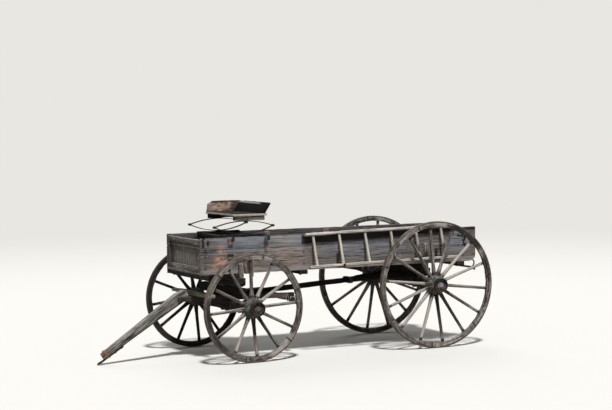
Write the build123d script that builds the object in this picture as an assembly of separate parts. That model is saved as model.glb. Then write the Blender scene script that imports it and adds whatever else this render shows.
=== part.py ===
from build123d import *
from math import asin, atan, atan2, cos, degrees, hypot, pi, radians, sin, tan
import os

# Farm wagon with an open board box, a running gear on four spoked wheels, a spring seat and a ladder on its left side.
# Millimetres. +X is forward, +Y is the left side, +Z is up, and the ground is at z = 0.
# While it is built, x = 0 is the king bolt. At the end all pieces move along X, so that the origin is under the middle.

# Running gear
wheelbase = 2196.0
track = 1490.0
parked_steer = 3.25
running = 0.1
plate_gap = 0.3
pin_radius = 11.0

# Wheels
front_radius = 559.0
rear_radius = 686.0
front_spokes = 12
rear_spokes = 14
tyre_width = 45.0
tyre_thick = 12.0
felloe_width = 42.0
felloe_depth = 48.0
felloe_kerf = 2.0
dish = 31.0
foot_plane = -35.0
spoke_wide = 28.0
spoke_deep = 52.0
tip_wide = 27.0
tip_deep = 29.0
hub_flat = 1.4
belt_let_in = 8.0
# Angle of one spoke of each wheel, from the front towards the ground
spoke_phase = {"front_left": 3.6, "front_right": 7.0, "rear_left": 19.3, "rear_right": 5.6}

# Hubs, along the axle from the middle of the rim, outwards positive
hub_inner = -155.0
hub_outer = 95.0
barrel_radius = 104.0
barrel_inner = -92.0
barrel_outer = 22.0
inner_end_radius = 82.0
nose_radius = 69.0
band_thick = 4.5
inner_band = 27.0
nose_band = 35.0
nose_lip = 23.0
nut_recess = 27.0
recess_radius = 50.0
skein_inner_radius = 43.0
skein_outer_radius = 30.0
skein_collar_radius = 58.0
skein_collar = 42.0
collar_gap = 3.0
nut_radius = 42.0
nut_thick = 24.0
stub_radius = 21.0
stub_length = 12.0

# Front carriage
axle_wide = 90.0
axle_deep = 100.0
front_axle_drop = 9.0
hound_thick = 54.0
hound_wide = 54.0
hound_tip = 545.0
hound_bend = 390.0
hound_rear = -665.0
hound_spread = 360.0
sand_bolster_deep = 91.0
sand_bolster_half = 500.0
bolster_wide = 84.0
wear_plate_thick = 6.0
wear_plate_half = 150.0
sway_bar_x = -605.0
sway_bar_wide = 70.0
sway_bar_deep = 46.0
sway_bar_half = 470.0
sway_band_from_end = (22.0, 62.0)
sway_band_wide = 16.0
sway_band_thick = 4.0
sway_notch = 20.0
sway_plate = 8.0
cross_bar_x = 342.0
cross_bar_wide = 55.0
cross_bar_deep = 48.0
cross_bar_half = 500.0
reach_gain = 6.0
gain_half = 150.0

# Tongue, measured from its pin
tongue_pin_x = 505.0
tongue_tail = 100.0
tongue_length = 1020.0
tongue_shoulder = 130.0
tongue_half = 50.0
tongue_tip_half = 36.0
tongue_below = 48.0
tongue_above = 66.0
tongue_tip_above = 22.0
tongue_root_chamfer = 18.0
tongue_tip_chamfer = 19.0
tongue_side_gap = 5.0
tongue_iron_thick = 10.0
tongue_iron_half = 22.0
tongue_iron_start = 780.0
eye_reach = 60.0
eye_radius = 30.0
eye_hole = 16.0
tongue_pin_head = 12.0

# Reach, rear axle and rear hounds
reach_wide = 90.0
reach_thick = 50.0
reach_front = 75.0
reach_behind = 160.0
rear_axle_drop = 2.0
rear_hound_reach = 716.0
rear_hound_behind = 130.0
rear_hound_half = 327.0
rear_hound_wide = 57.0
rear_hound_scarf = 190.0
clip_thick = 8.0
clip_long = 40.0

# Bolsters and stakes
front_bolster_deep = 97.7
rear_bolster_deep = 67.0
bolster_half = 545.0
stake_thick = 42.0
stake_wide = 45.0
stake_gap = 3.0
front_stake_top = 105.0
rear_stake_top = 220.0

# Box
box_front = 437.0
box_length = 3279.0
box_width = 990.0
box_height = 380.0
board = 22.0
seam = 2.0
upper_board = 126.0
sill_deep = 45.0
sill_wide = 90.0
floor_boards = 5
floor_short = 40.0
rear_corner = 80.0
cleat = 22.0
cleat_wide = 60.0
cleat_top_gap = 18.0
batten_wide = 60.0
batten_thick = 20.0
gate_clear = 5.0
gate_seat = 0.3
rod_radius = 6.0
rod_inset = 139.0
rod_to_gate = 45.0
front_rod_inset = 84.0
front_rod_down = 46.0
rear_rod_down = 116.0
rod_washer = 16.0
rod_washer_thick = 4.0
rod_nut_thick = 9.0

# Irons on the box sides
loop_x = 112.0
loop_drop = (30.0, 185.0)
loop_wide = 50.0
loop_out = 40.0
loop_high = 28.0
iron = 5.0
corner_iron_x = 387.0
corner_iron_wide = 30.0
corner_iron_high = 90.0

# Seat
seat_bar_x = (71.0, -329.0)
seat_bar_wide = 44.0
seat_bar_deep = 45.0
clip_leg = 40.0
clip_wide = 30.0
clip_over = 55.0
spring_x = -110.0
spring_half = 330.0
spring_y = 355.0
spring_wide = 38.0
leaf = 8.0
spring_eye = 13.0
spring_rail_thick = 20.0
spring_rail_half = 245.0
spring_low = 78.0
spring_high = 56.0
bearer_deep = 48.0
bearer_wide = 45.0
seat_front = 20.0
seat_depth = 380.0
seat_half = 400.0
seat_board_thick = 22.0
back_lean = 33.0
back_high = 130.0
back_thick = 20.0
back_inset = 35.0
panel_high = 115.0
panel_thick = 20.0
panel_down = 18.0

# Ladder on the left side
ladder_front = -738.0
ladder_length = 1820.0
ladder_out = 130.0
ladder_up = 35.0
ladder_rise = 1.1
ladder_width = 352.0
rail_thick = 26.0
rail_deep = 60.0
rung_radius = 14.0
rung_first = 92.0
rung_pitch = 310.0
rung_count = 6
ladder_touch = 0.3
hook_x = (-1128.0, -2337.0)
hook_wide = 24.0
hook_thick = 8.0
hook_top = 160.0
hook_lip = 40.0

# Heights that follow from the sizes above
front_axle_top = front_radius - front_axle_drop + axle_deep / 2
hound_top = front_axle_top + hound_thick
hound_middle = front_axle_top + hound_thick / 2
sand_bolster_top = hound_top + sand_bolster_deep
front_bolster_low = sand_bolster_top + 2 * wear_plate_thick + plate_gap
rear_axle_top = rear_radius + rear_axle_drop + axle_deep / 2
rear_bolster_low = rear_axle_top + reach_thick
bolster_top = max(front_bolster_low + front_bolster_deep, rear_bolster_low + rear_bolster_deep)
box_low = bolster_top + sill_deep
box_top = box_low + box_height
floor_top = box_low + board
reach_slope = degrees(atan((rear_axle_top + reach_thick / 2 - hound_middle) / wheelbase))
box_rear = box_front - box_length
outside = box_width / 2
inside = outside - board
half_track = track / 2
pin_hole = pin_radius + running


def block(x0, x1, y0, y1, z0, z1):
    return Pos((x0 + x1) / 2, (y0 + y1) / 2, (z0 + z1) / 2) * Box(abs(x1 - x0), abs(y1 - y0), abs(z1 - z0))


def side_view(points, y0, y1):
    """A solid with the outline of points in x and z, from y0 to y1."""
    return Pos(0, y1, 0) * extrude(Plane.XZ * Polygon(*points, align=None), amount=y1 - y0)


def front_view(points, x0, x1):
    """A solid with the outline of points in y and z, from x0 to x1."""
    return Pos(x0, 0, 0) * extrude(Plane.YZ * Polygon(*points, align=None), amount=x1 - x0)


def top_view(points, z0, z1):
    """A solid with the outline of points in x and y, from z0 to z1."""
    return Pos(0, 0, z0) * extrude(Polygon(*points, align=None), amount=z1 - z0)


def upright(radius, x, y, z0, z1):
    return Pos(x, y, (z0 + z1) / 2) * Cylinder(radius, z1 - z0)


def crosswise(radius, x, z, y0, y1):
    return Pos(x, (y0 + y1) / 2, z) * Rot(90, 0, 0) * Cylinder(radius, y1 - y0)


def mirrored(solid):
    return mirror(solid, about=Plane.XZ)


def both_sides(solid):
    return [solid, mirrored(solid)]


def turned_profile(points):
    """A solid of revolution about the axle line from points of radius and place along the axle."""
    return revolve(Polygon(*points, align=None), axis=Axis.Y)


# Wheels, each built at the origin with its outer side towards +Y
def skein_radius(place):
    """Radius of the tapered iron arm at a place along the axle."""
    share = (place - hub_inner) / (hub_outer - hub_inner)
    return skein_inner_radius + share * (skein_outer_radius - skein_inner_radius)


def hub_wood():
    floor = hub_outer - nut_recess
    return turned_profile([
        (skein_radius(hub_inner) + running, hub_inner),
        (inner_end_radius, hub_inner),
        (inner_end_radius, hub_inner + inner_band),
        (barrel_radius, barrel_inner),
        (barrel_radius, barrel_outer),
        (nose_radius, hub_outer - nose_band),
        (nose_radius, hub_outer),
        (recess_radius, hub_outer),
        (recess_radius, floor),
        (skein_radius(floor) + running, floor),
    ])


def band(radius, start, end):
    return turned_profile([
        (radius, start),
        (radius + band_thick, start),
        (radius + band_thick, end),
        (radius, end),
    ])


def spoke_foot_out():
    """Distance of the hub's flats, on which the spokes stand, from the axle line."""
    return barrel_radius - hub_flat


def hub_with_flats(spokes, phase):
    """The hub with a belt of flats round its barrel, one for the shoulder of each spoke."""
    half = spoke_deep / 2 + 1
    start, end = foot_plane - half, foot_plane + half
    under = spoke_foot_out() - belt_let_in
    hub = hub_wood()
    hub -= turned_profile([(under, start), (2 * barrel_radius, start), (2 * barrel_radius, end), (under, end)])
    corners = spoke_foot_out() / cos(pi / spokes)
    belt = extrude(Plane.XZ * RegularPolygon(corners, spokes), amount=start - end)
    belt -= crosswise(under - 5, 0, 0, start - end, end - start)
    return hub + Pos(0, start, 0) * Rot(0, phase + 180 / spokes, 0) * belt


def spoke_section(out, place, wide, deep, corner):
    """Corners of an eight-sided section at a distance out from the axle line and a place along it."""
    w, d = wide / 2, deep / 2
    flat = [(d, w - corner), (d - corner, w), (corner - d, w), (-d, w - corner)]
    flat += [(-d, corner - w), (corner - d, -w), (d - corner, -w), (d, corner - w)]
    return [Vector(out, place + y, z) for y, z in flat]


def through_sections(sections):
    """A solid with flat sides between sections that have the same number of corners."""
    faces = [Face(Wire.make_polygon(sections[0])), Face(Wire.make_polygon(sections[-1]))]
    for near, far in zip(sections, sections[1:]):
        for k in range(len(near)):
            j = (k + 1) % len(near)
            faces.append(Face(Wire.make_polygon([near[k], near[j], far[j], far[k]])))
    return Solid(Shell(faces))


def spoke(felloe_inner):
    """A spoke along +X from the hub's flat to the felloe, leaning outwards by the dish."""
    foot = spoke_foot_out()
    tip = (felloe_inner ** 2 - (tip_wide / 2) ** 2) ** 0.5
    lean = dish / (tip - foot)
    shapes = [
        (foot, spoke_wide, spoke_deep, 4),
        (foot + 110, spoke_wide - 3, spoke_deep - 17, 7),
        (tip, tip_wide, tip_deep, 8),
    ]
    return through_sections([
        spoke_section(out, foot_plane + (out - foot) * lean, wide, deep, corner)
        for out, wide, deep, corner in shapes
    ])


def around(solid, count, phase):
    return [Rot(0, phase + 360 * k / count, 0) * solid for k in range(count)]


def felloes(radius, spokes, phase):
    outer = radius - tyre_thick
    inner = outer - felloe_depth
    ring = crosswise(outer, 0, 0, -felloe_width / 2, felloe_width / 2)
    ring -= crosswise(inner, 0, 0, -felloe_width, felloe_width)
    kerf = block(inner - 20, outer + 20, -felloe_width, felloe_width, -felloe_kerf / 2, felloe_kerf / 2)
    for cut in around(kerf, spokes // 2, phase + 180 / spokes):
        ring -= cut
    return ring.solids()


def wheel(radius, spokes, phase):
    """The nodes of one left wheel at the origin."""
    felloe_inner = radius - tyre_thick - felloe_depth
    tyre = crosswise(radius, 0, 0, -tyre_width / 2, tyre_width / 2)
    tyre -= crosswise(radius - tyre_thick, 0, 0, -tyre_width, tyre_width)
    bands = [
        band(inner_end_radius, hub_inner, hub_inner + inner_band),
        band(nose_radius, hub_outer - nose_band, hub_outer + nose_lip),
    ]
    return {
        "hub": [hub_with_flats(spokes, phase)],
        "spokes": around(spoke(felloe_inner), spokes, phase),
        "felloes": felloes(radius, spokes, phase),
        "irons": [tyre] + bands,
    }


def skein():
    """The iron arm that the wheel turns on, at the origin like the wheel."""
    collar_end = hub_inner - collar_gap
    nut_start = hub_outer - nut_recess + 1
    arm = turned_profile([
        (0, collar_end - skein_collar),
        (skein_collar_radius, collar_end - skein_collar),
        (skein_collar_radius, collar_end),
        (skein_radius(collar_end), collar_end),
        (skein_radius(nut_start), nut_start),
        (stub_radius, nut_start),
        (stub_radius, nut_start + nut_thick + stub_length),
        (0, nut_start + nut_thick + stub_length),
    ])
    nut = extrude(Plane.XZ * RegularPolygon(nut_radius, 6), amount=-nut_thick)
    return arm + Pos(0, nut_start, 0) * nut


def at_wheel(solid, x, radius):
    """A left piece built at the origin, put on its axle, and its mirror image on the right."""
    return Pos(x, half_track, radius) * solid, Pos(x, -half_track, radius) * mirrored(solid)


axle_half = half_track + hub_inner - collar_gap - skein_collar
nodes = {}
steered = []


def add(name, solids, turns=False):
    """Keeps the solids of a node. Those of the front carriage are turned later to the parked steering angle."""
    nodes[name] = [part for solid in solids for part in solid.solids()]
    if turns:
        steered.append(name)


# Front carriage
front_skein_left, front_skein_right = at_wheel(skein(), 0, front_radius)
add("front_skeins", [front_skein_left, front_skein_right], turns=True)

front_axle = block(-axle_wide / 2, axle_wide / 2, -axle_half, axle_half, front_axle_top - axle_deep, front_axle_top)
front_axle -= block(-axle_wide, axle_wide, -gain_half, gain_half, front_axle_top - reach_gain, front_axle_top + 1)
front_axle -= upright(pin_hole, 0, 0, 0, front_axle_top + 1)
add("front_axle", [front_axle], turns=True)

hound_inner = tongue_half + tongue_side_gap
hound = top_view([
    (hound_tip, hound_inner),
    (hound_tip, hound_inner + hound_wide - 6),
    (hound_bend, hound_inner + hound_wide),
    (hound_rear, hound_spread + hound_wide / 2),
    (hound_rear, hound_spread - hound_wide / 2),
    (hound_bend, hound_inner),
], front_axle_top, hound_top)
sway_top = front_axle_top + sway_notch
sway_x0 = sway_bar_x - sway_bar_wide / 2
sway_x1 = sway_bar_x + sway_bar_wide / 2
hound -= block(sway_x0, sway_x1, 0, 600, front_axle_top - 1, sway_top)
hound -= crosswise(pin_hole, tongue_pin_x, hound_middle, 0, 300)
add("front_hounds", both_sides(hound), turns=True)

sway_bar = front_view([
    (-sway_bar_half, sway_top - sway_bar_deep + 8),
    (-sway_bar_half + 40, sway_top - sway_bar_deep),
    (sway_bar_half - 40, sway_top - sway_bar_deep),
    (sway_bar_half, sway_top - sway_bar_deep + 8),
    (sway_bar_half, sway_top),
    (-sway_bar_half, sway_top),
], sway_x0, sway_x1)
sway_plate_half = hound_spread - hound_wide
slide_plate = block(
    sway_x0 + 12, sway_x1 - 12, -sway_plate_half, sway_plate_half, sway_top, sway_top + sway_plate
)

bar_low = hound_top
cross_bar = front_view([
    (-cross_bar_half, bar_low + 8),
    (-hound_spread / 2, bar_low),
    (hound_spread / 2, bar_low),
    (cross_bar_half, bar_low + 8),
    (cross_bar_half, bar_low + cross_bar_deep - 8),
    (hound_spread / 2, bar_low + cross_bar_deep),
    (-hound_spread / 2, bar_low + cross_bar_deep),
    (-cross_bar_half, bar_low + cross_bar_deep - 8),
], cross_bar_x - cross_bar_wide / 2, cross_bar_x + cross_bar_wide / 2)
add("hound_bars", [sway_bar, cross_bar], turns=True)

sand_bolster = front_view([
    (-sand_bolster_half, hound_top + 20),
    (-sand_bolster_half + 60, hound_top),
    (-gain_half, hound_top),
    (-gain_half, hound_top + reach_gain),
    (gain_half, hound_top + reach_gain),
    (gain_half, hound_top),
    (sand_bolster_half - 60, hound_top),
    (sand_bolster_half, hound_top + 20),
    (sand_bolster_half, sand_bolster_top),
    (-sand_bolster_half, sand_bolster_top),
], -bolster_wide / 2, bolster_wide / 2)
sand_bolster -= upright(pin_hole, 0, 0, hound_top - 1, sand_bolster_top + 1)
add("sand_bolster", [sand_bolster], turns=True)

plate_side = bolster_wide / 2 - 2
lower_plate = block(
    -plate_side, plate_side, -wear_plate_half, wear_plate_half, sand_bolster_top, sand_bolster_top + wear_plate_thick
)
lower_plate -= upright(pin_hole, 0, 0, sand_bolster_top - 1, front_bolster_low + 1)

sway_low = sway_top - sway_bar_deep
sway_bands = []
for down in sway_band_from_end:
    y0, y1 = sway_bar_half - down - sway_band_wide / 2, sway_bar_half - down + sway_band_wide / 2
    thick = sway_band_thick
    hoop = block(sway_x0 - thick, sway_x1 + thick, y0, y1, sway_low - thick, sway_top + thick)
    sway_bands += both_sides(hoop - sway_bar)
pin_end = hound_inner + hound_wide
tongue_pin = crosswise(pin_radius, tongue_pin_x, hound_middle, -pin_end - tongue_pin_head, pin_end)
tongue_pin += crosswise(pin_radius + 8, tongue_pin_x, hound_middle, pin_end, pin_end + tongue_pin_head)
add("carriage_irons", [tongue_pin, lower_plate, slide_plate] + sway_bands, turns=True)

# Tongue, built along +X from its pin and dropped until its iron eye rests on the ground
def tongue_section(x, half, low, high, corner):
    """Corners of the tongue's eight-sided section, half its width, and how far it reaches down and up."""
    right = [(-half, high - corner), (-half, corner - low), (corner - half, -low), (half - corner, -low)]
    left = [(half, corner - low), (half, high - corner), (half - corner, high), (corner - half, high)]
    return [Vector(x, y, z) for y, z in right + left]


tongue = through_sections([
    tongue_section(-tongue_tail, tongue_half - 6, tongue_below * 0.6, tongue_above * 0.6, 6),
    tongue_section(-tongue_tail + 25, tongue_half, tongue_below, tongue_above - 4, 9),
    tongue_section(0, tongue_half, tongue_below, tongue_above, 9),
    tongue_section(tongue_shoulder, tongue_half, tongue_below, tongue_above - 4, tongue_root_chamfer),
    tongue_section(tongue_length, tongue_tip_half, tongue_below, tongue_tip_above, tongue_tip_chamfer),
])
tongue -= crosswise(pin_hole, 0, 0, -tongue_half - 1, tongue_half + 1)
eye_x = tongue_length + eye_reach
iron_low = -tongue_below - tongue_iron_thick
tongue_iron = block(tongue_iron_start, eye_x, -tongue_iron_half, tongue_iron_half, iron_low, -tongue_below)
tongue_iron += upright(eye_radius, eye_x, 0, iron_low, -tongue_below)
tongue_iron -= upright(eye_hole, eye_x, 0, iron_low - 1, 1 - tongue_below)
tip_x = eye_x + eye_radius
tongue_drop = degrees(asin(hound_middle / hypot(tip_x, iron_low)) - atan2(-iron_low, tip_x))
dropped = Pos(tongue_pin_x, 0, hound_middle) * Rot(0, tongue_drop, 0)
add("tongue", [dropped * tongue], turns=True)
add("tongue_iron", [dropped * tongue_iron], turns=True)

# Reach and rear hounds, built level from the king bolt and tilted up to the rear axle
tilted = Pos(0, 0, hound_middle) * Rot(0, reach_slope, 0)
reach_rear = -(wheelbase + reach_behind)
half_reach = reach_wide / 2
half_thick = reach_thick / 2
reach = tilted * block(reach_rear, reach_front, -half_reach, half_reach, -half_thick, half_thick)
hound_x0 = -(wheelbase - rear_hound_reach)
hound_x1 = -(wheelbase + rear_hound_behind)
rear_hound = tilted * top_view([
    (hound_x0, half_reach),
    (hound_x0, half_reach + 7),
    (hound_x1, rear_hound_half + rear_hound_wide / 2),
    (hound_x1, rear_hound_half - rear_hound_wide / 2),
    (hound_x0 - rear_hound_scarf, half_reach),
], -half_thick, half_thick)
rear_hounds = both_sides(rear_hound)
add("reach", [reach - upright(pin_hole, 0, 0, 0, box_low)])
add("rear_hounds", rear_hounds)

clip_y = half_reach + 7 + clip_long * 0.5
reach_clip = block(
    hound_x0 - clip_long, hound_x0, -clip_y - clip_thick, clip_y + clip_thick,
    -half_thick - clip_thick, half_thick + clip_thick,
)
reach_clip -= block(hound_x0 - 2 * clip_long, hound_x0 + clip_long, -clip_y, clip_y, -half_thick, half_thick)

# Rear axle, bolsters, king bolt and stakes
rear_skein_left, rear_skein_right = at_wheel(skein(), -wheelbase, rear_radius)
add("rear_skeins", [rear_skein_left, rear_skein_right])


def let_in(solid):
    """Cuts the reach and the rear hounds out of a beam that they pass."""
    for cut in [reach] + rear_hounds:
        solid -= cut
    return solid


rear_axle = block(
    -wheelbase - axle_wide / 2, -wheelbase + axle_wide / 2, -axle_half, axle_half,
    rear_axle_top - axle_deep, rear_axle_top,
)
add("rear_axle", [let_in(rear_axle)])


def bolster(x, low):
    """A bolster with its ends cut up towards the stakes."""
    return front_view([
        (-bolster_half, low + 25),
        (-bolster_half + 70, low),
        (bolster_half - 70, low),
        (bolster_half, low + 25),
        (bolster_half, bolster_top),
        (-bolster_half, bolster_top),
    ], x - bolster_wide / 2, x + bolster_wide / 2)


head_radius = pin_radius + 9
head_low = bolster_top - 12
front_bolster = bolster(0, front_bolster_low)
front_bolster -= upright(pin_hole, 0, 0, front_bolster_low - 1, bolster_top)
front_bolster -= upright(head_radius + running, 0, 0, head_low, bolster_top + 1)
add("bolsters", [front_bolster, let_in(bolster(-wheelbase, rear_bolster_low))])

upper_plate = block(
    -plate_side, plate_side, -wear_plate_half, wear_plate_half, front_bolster_low - wear_plate_thick, front_bolster_low
)
upper_plate -= upright(pin_hole, 0, 0, sand_bolster_top, front_bolster_low + 1)
add("reach_irons", [upper_plate, tilted * reach_clip])

axle_low = front_axle_top - axle_deep
king_bolt = upright(pin_radius, 0, 0, axle_low - 24, head_low)
king_bolt += upright(head_radius, 0, 0, head_low, bolster_top)
king_bolt += Pos(0, 0, axle_low - 22) * extrude(RegularPolygon(pin_radius + 9, 6), amount=16)
add("king_bolt", [king_bolt])


def stake(x, top):
    """A stake on a bolster's left end, outside the box, with its top cut down outwards."""
    inner = outside + stake_gap
    points = [
        (inner, bolster_top),
        (inner + stake_thick, bolster_top),
        (inner + stake_thick - 8, box_low + top - 15),
        (inner + stake_thick - 20, box_low + top),
        (inner, box_low + top),
    ]
    return front_view(points, x - stake_wide / 2, x + stake_wide / 2)


add("stakes", both_sides(stake(0, front_stake_top)) + both_sides(stake(-wheelbase, rear_stake_top)))

# Box floor on cross sills
sill_places = [box_front - sill_wide / 2, 0, -wheelbase / 3, -2 * wheelbase / 3, -wheelbase, box_rear + 190]
add("floor_sills", [
    block(x - sill_wide / 2, x + sill_wide / 2, -outside, outside, bolster_top, box_low) for x in sill_places
])
floor_half = inside - 0.3
floor_board = (2 * floor_half - (floor_boards - 1) * seam) / floor_boards
floor_starts = [-floor_half + k * (floor_board + seam) for k in range(floor_boards)]
add("floor_boards", [
    block(box_rear + floor_short, box_front, y, y + floor_board, box_low, floor_top) for y in floor_starts
])

# Sides of two boards each, with the rod holes through them
rear_rod_x = box_rear + rod_inset
rear_rod_z = box_top - rear_rod_down
front_rod_x = box_front - front_rod_inset
front_rod_z = box_top - front_rod_down
lower_top = box_top - upper_board - seam
lower_sketch = Polygon(
    (box_rear, box_low), (box_front, box_low), (box_front, lower_top), (box_rear, lower_top), align=None
)
corner = lower_sketch.vertices().sort_by_distance((box_rear, box_low, 0))[0]
lower_face = Plane.XZ * fillet(corner, rear_corner)
lower_board = Pos(0, outside, 0) * extrude(lower_face, amount=board)
upper_board_solid = block(box_rear, box_front, inside, outside, box_top - upper_board, box_top)
rear_hole = crosswise(rod_radius + running, rear_rod_x, rear_rod_z, inside - 1, outside + 1)
front_hole = crosswise(rod_radius + running, front_rod_x, front_rod_z, inside - 1, outside + 1)
left_boards = [board_solid - rear_hole - front_hole for board_solid in (lower_board, upper_board_solid)]
add("left_side", left_boards)
add("right_side", [mirrored(solid) for solid in left_boards])

# Upright cleats inside the sides: between the boards, and on both sides of the end gates
gate_x0 = rear_rod_x + rod_to_gate
gate_x1 = gate_x0 + board
cleat_top = box_top - cleat_top_gap
front_gate_front = box_front - batten_thick
front_gate_back = front_gate_front - board
cleat_places = [
    (front_gate_back - cleat, front_gate_back),
    (-wheelbase / 3 - cleat_wide / 2, -wheelbase / 3 + cleat_wide / 2),
    (-2 * wheelbase / 3 - cleat_wide / 2, -2 * wheelbase / 3 + cleat_wide / 2),
    (gate_x1 + gate_clear, gate_x1 + gate_clear + cleat),
    (gate_x0 - gate_clear - cleat, gate_x0 - gate_clear),
]
cleats = []
for x0, x1 in cleat_places:
    cleats += both_sides(block(x0, x1, inside - cleat, inside, floor_top, cleat_top))
add("side_cleats", cleats)

# Front end gate with battens on its front
gate_split = floor_top + 0.6 * (cleat_top - floor_top)
add("front_gate", [
    block(front_gate_back, front_gate_front, -floor_half, floor_half, floor_top, gate_split),
    block(front_gate_back, front_gate_front, -floor_half, floor_half, gate_split + seam, cleat_top),
])
between = floor_half - batten_wide - seam
front_battens = both_sides(
    block(front_gate_front, box_front, floor_half - batten_wide, floor_half, floor_top, cleat_top)
)
front_battens.append(
    block(front_gate_front, box_front, -between, between, cleat_top - batten_wide, cleat_top)
)
front_battens.append(block(front_gate_front, box_front, -between, between, floor_top, floor_top + batten_wide))
add("front_gate_battens", front_battens)

# Tail gate that lifts out between the rear cleats
gate_half = inside - gate_clear
gate_low = floor_top + gate_seat
add("tail_gate", [
    block(gate_x0, gate_x1, -gate_half, gate_half, gate_low, gate_split),
    block(gate_x0, gate_x1, -gate_half, gate_half, gate_split + seam, cleat_top),
])
tail_battens = [
    block(gate_x0 - batten_thick, gate_x0, y - batten_wide / 2, y + batten_wide / 2, gate_low + 10, cleat_top - 10)
    for y in (-0.75 * gate_half, 0, 0.75 * gate_half)
]
add("tail_gate_battens", tail_battens)


def end_rod(x, z):
    """A rod across the box with a washer and a nut on the outside of each side."""
    rod = crosswise(rod_radius, x, z, -outside, outside)
    for side in (1, -1):
        washer = side * (outside + rod_washer_thick / 2)
        rod += Pos(x, washer, z) * Box(2 * rod_washer, rod_washer_thick, 2 * rod_washer)
        nut = side * (outside + rod_washer_thick + rod_nut_thick / 2)
        rod += Pos(x, nut, z) * Box(3.2 * rod_radius, rod_nut_thick, 3.2 * rod_radius)
    return rod


add("end_rods", [end_rod(front_rod_x, front_rod_z), end_rod(rear_rod_x, rear_rod_z)])


# Square loops and corner irons on the sides
def side_loop(z):
    x0, x1 = loop_x - loop_wide / 2, loop_x + loop_wide / 2
    solid = block(x0, x1, outside, outside + loop_out, z - loop_high / 2, z + loop_high / 2)
    hole = block(x0 + iron, x1 - iron, outside - 1, outside + loop_out - iron, z - loop_high, z + loop_high)
    return solid - hole


loops = []
for drop in loop_drop:
    loops += both_sides(side_loop(box_top - drop))
add("side_loops", loops)
side_irons = both_sides(block(
    corner_iron_x, corner_iron_x + corner_iron_wide, outside, outside + iron, box_top - corner_iron_high, box_top
))

# Seat on two springs, hung from the sides by clips over their edges
add("seat_cross_bars", [
    block(x - seat_bar_wide / 2, x + seat_bar_wide / 2, -floor_half, floor_half, box_top - seat_bar_deep, box_top)
    for x in seat_bar_x
])


def seat_clip(x):
    points = [
        (outside, box_top - clip_leg),
        (outside + iron, box_top - clip_leg),
        (outside + iron, box_top + iron),
        (outside - clip_over, box_top + iron),
        (outside - clip_over, box_top),
        (outside, box_top),
    ]
    return front_view(points, x - clip_wide / 2, x + clip_wide / 2)


for x in seat_bar_x:
    side_irons += both_sides(seat_clip(x))
add("side_irons", side_irons)

rail_top = box_top + spring_rail_thick
spring_rail = block(
    spring_x - spring_rail_half, spring_x + spring_rail_half,
    spring_y - bearer_wide / 2, spring_y + bearer_wide / 2, box_top, rail_top,
)


def spring_leaf(end_z, middle_z):
    """One arched leaf along X, given by the heights of its middle line."""
    half = leaf / 2
    top = ThreePointArc((-spring_half, end_z + half), (0, middle_z + half), (spring_half, end_z + half))
    low = ThreePointArc((spring_half, end_z - half), (0, middle_z - half), (-spring_half, end_z - half))
    face = make_face([top, Line(top @ 1, low @ 0), low, Line(low @ 1, top @ 0)])
    solid = extrude(Plane.XZ * face, amount=spring_wide / 2, both=True)
    return Pos(spring_x, spring_y, 0) * solid


eye_z = rail_top + spring_low
leaf_low = spring_leaf(eye_z, rail_top + leaf / 2)
leaf_high = spring_leaf(eye_z, eye_z + spring_high)
for end in (-spring_half, spring_half):
    eye = crosswise(
        spring_eye, spring_x + end, eye_z, spring_y - spring_wide / 2 - 4, spring_y + spring_wide / 2 + 4
    )
    leaf_high += eye
    leaf_low -= eye
add("seat_springs_lower", both_sides(leaf_low))
add("seat_springs_upper", both_sides(leaf_high))

bearer_low = eye_z + spring_high + leaf / 2
bearer_top = bearer_low + bearer_deep
seat_rear = seat_front - seat_depth
bearer = block(
    seat_front - 15, seat_rear + 20, spring_y - bearer_wide / 2, spring_y + bearer_wide / 2, bearer_low, bearer_top
)
add("seat_rails", both_sides(spring_rail) + both_sides(bearer))
seat_top = bearer_top + seat_board_thick
add("seat_board", [block(seat_rear, seat_front, -seat_half, seat_half, bearer_top, seat_top)])
back = Pos(seat_rear + back_inset, 0, seat_top) * Rot(0, -back_lean, 0) * Box(
    back_thick, 2 * seat_half, 2 * back_high
)
back -= block(seat_rear - 400, seat_front, -seat_half - 1, seat_half + 1, seat_top - 2 * back_high, seat_top)
add("seat_back", [back])
lean_run = panel_high * tan(radians(back_lean))
panel_base = seat_top - panel_down
add("seat_end_panel", [side_view([
    (seat_front - 15, panel_base),
    (seat_front - 30, seat_top + panel_high * 0.7),
    (seat_front - 90, seat_top + panel_high),
    (seat_rear + back_inset - lean_run, seat_top + panel_high),
    (seat_rear + 10, panel_base),
], -seat_half - panel_thick, -seat_half)])

# Ladder, built with its lower rail on the line of X and leaned in until its upper rail meets the side
reach_in = ladder_out - ladder_touch
across = ladder_width + rail_thick / 2
half_deep = rail_deep / 2
ladder_lean = degrees(asin(reach_in / hypot(across, half_deep)) - atan2(half_deep, across))
leaned = Pos(ladder_front, outside + ladder_out, box_low + ladder_up)
leaned *= Rot(0, ladder_rise, 0) * Rot(ladder_lean, 0, 0)
add("ladder_rails", [
    leaned * block(-ladder_length, 0, -half_deep, half_deep, z - rail_thick / 2, z + rail_thick / 2)
    for z in (0, ladder_width)
])
add("ladder_rungs", [
    leaned * upright(rung_radius, -rung_first - k * rung_pitch, 0, rail_thick / 2, ladder_width - rail_thick / 2)
    for k in range(rung_count)
])


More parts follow.
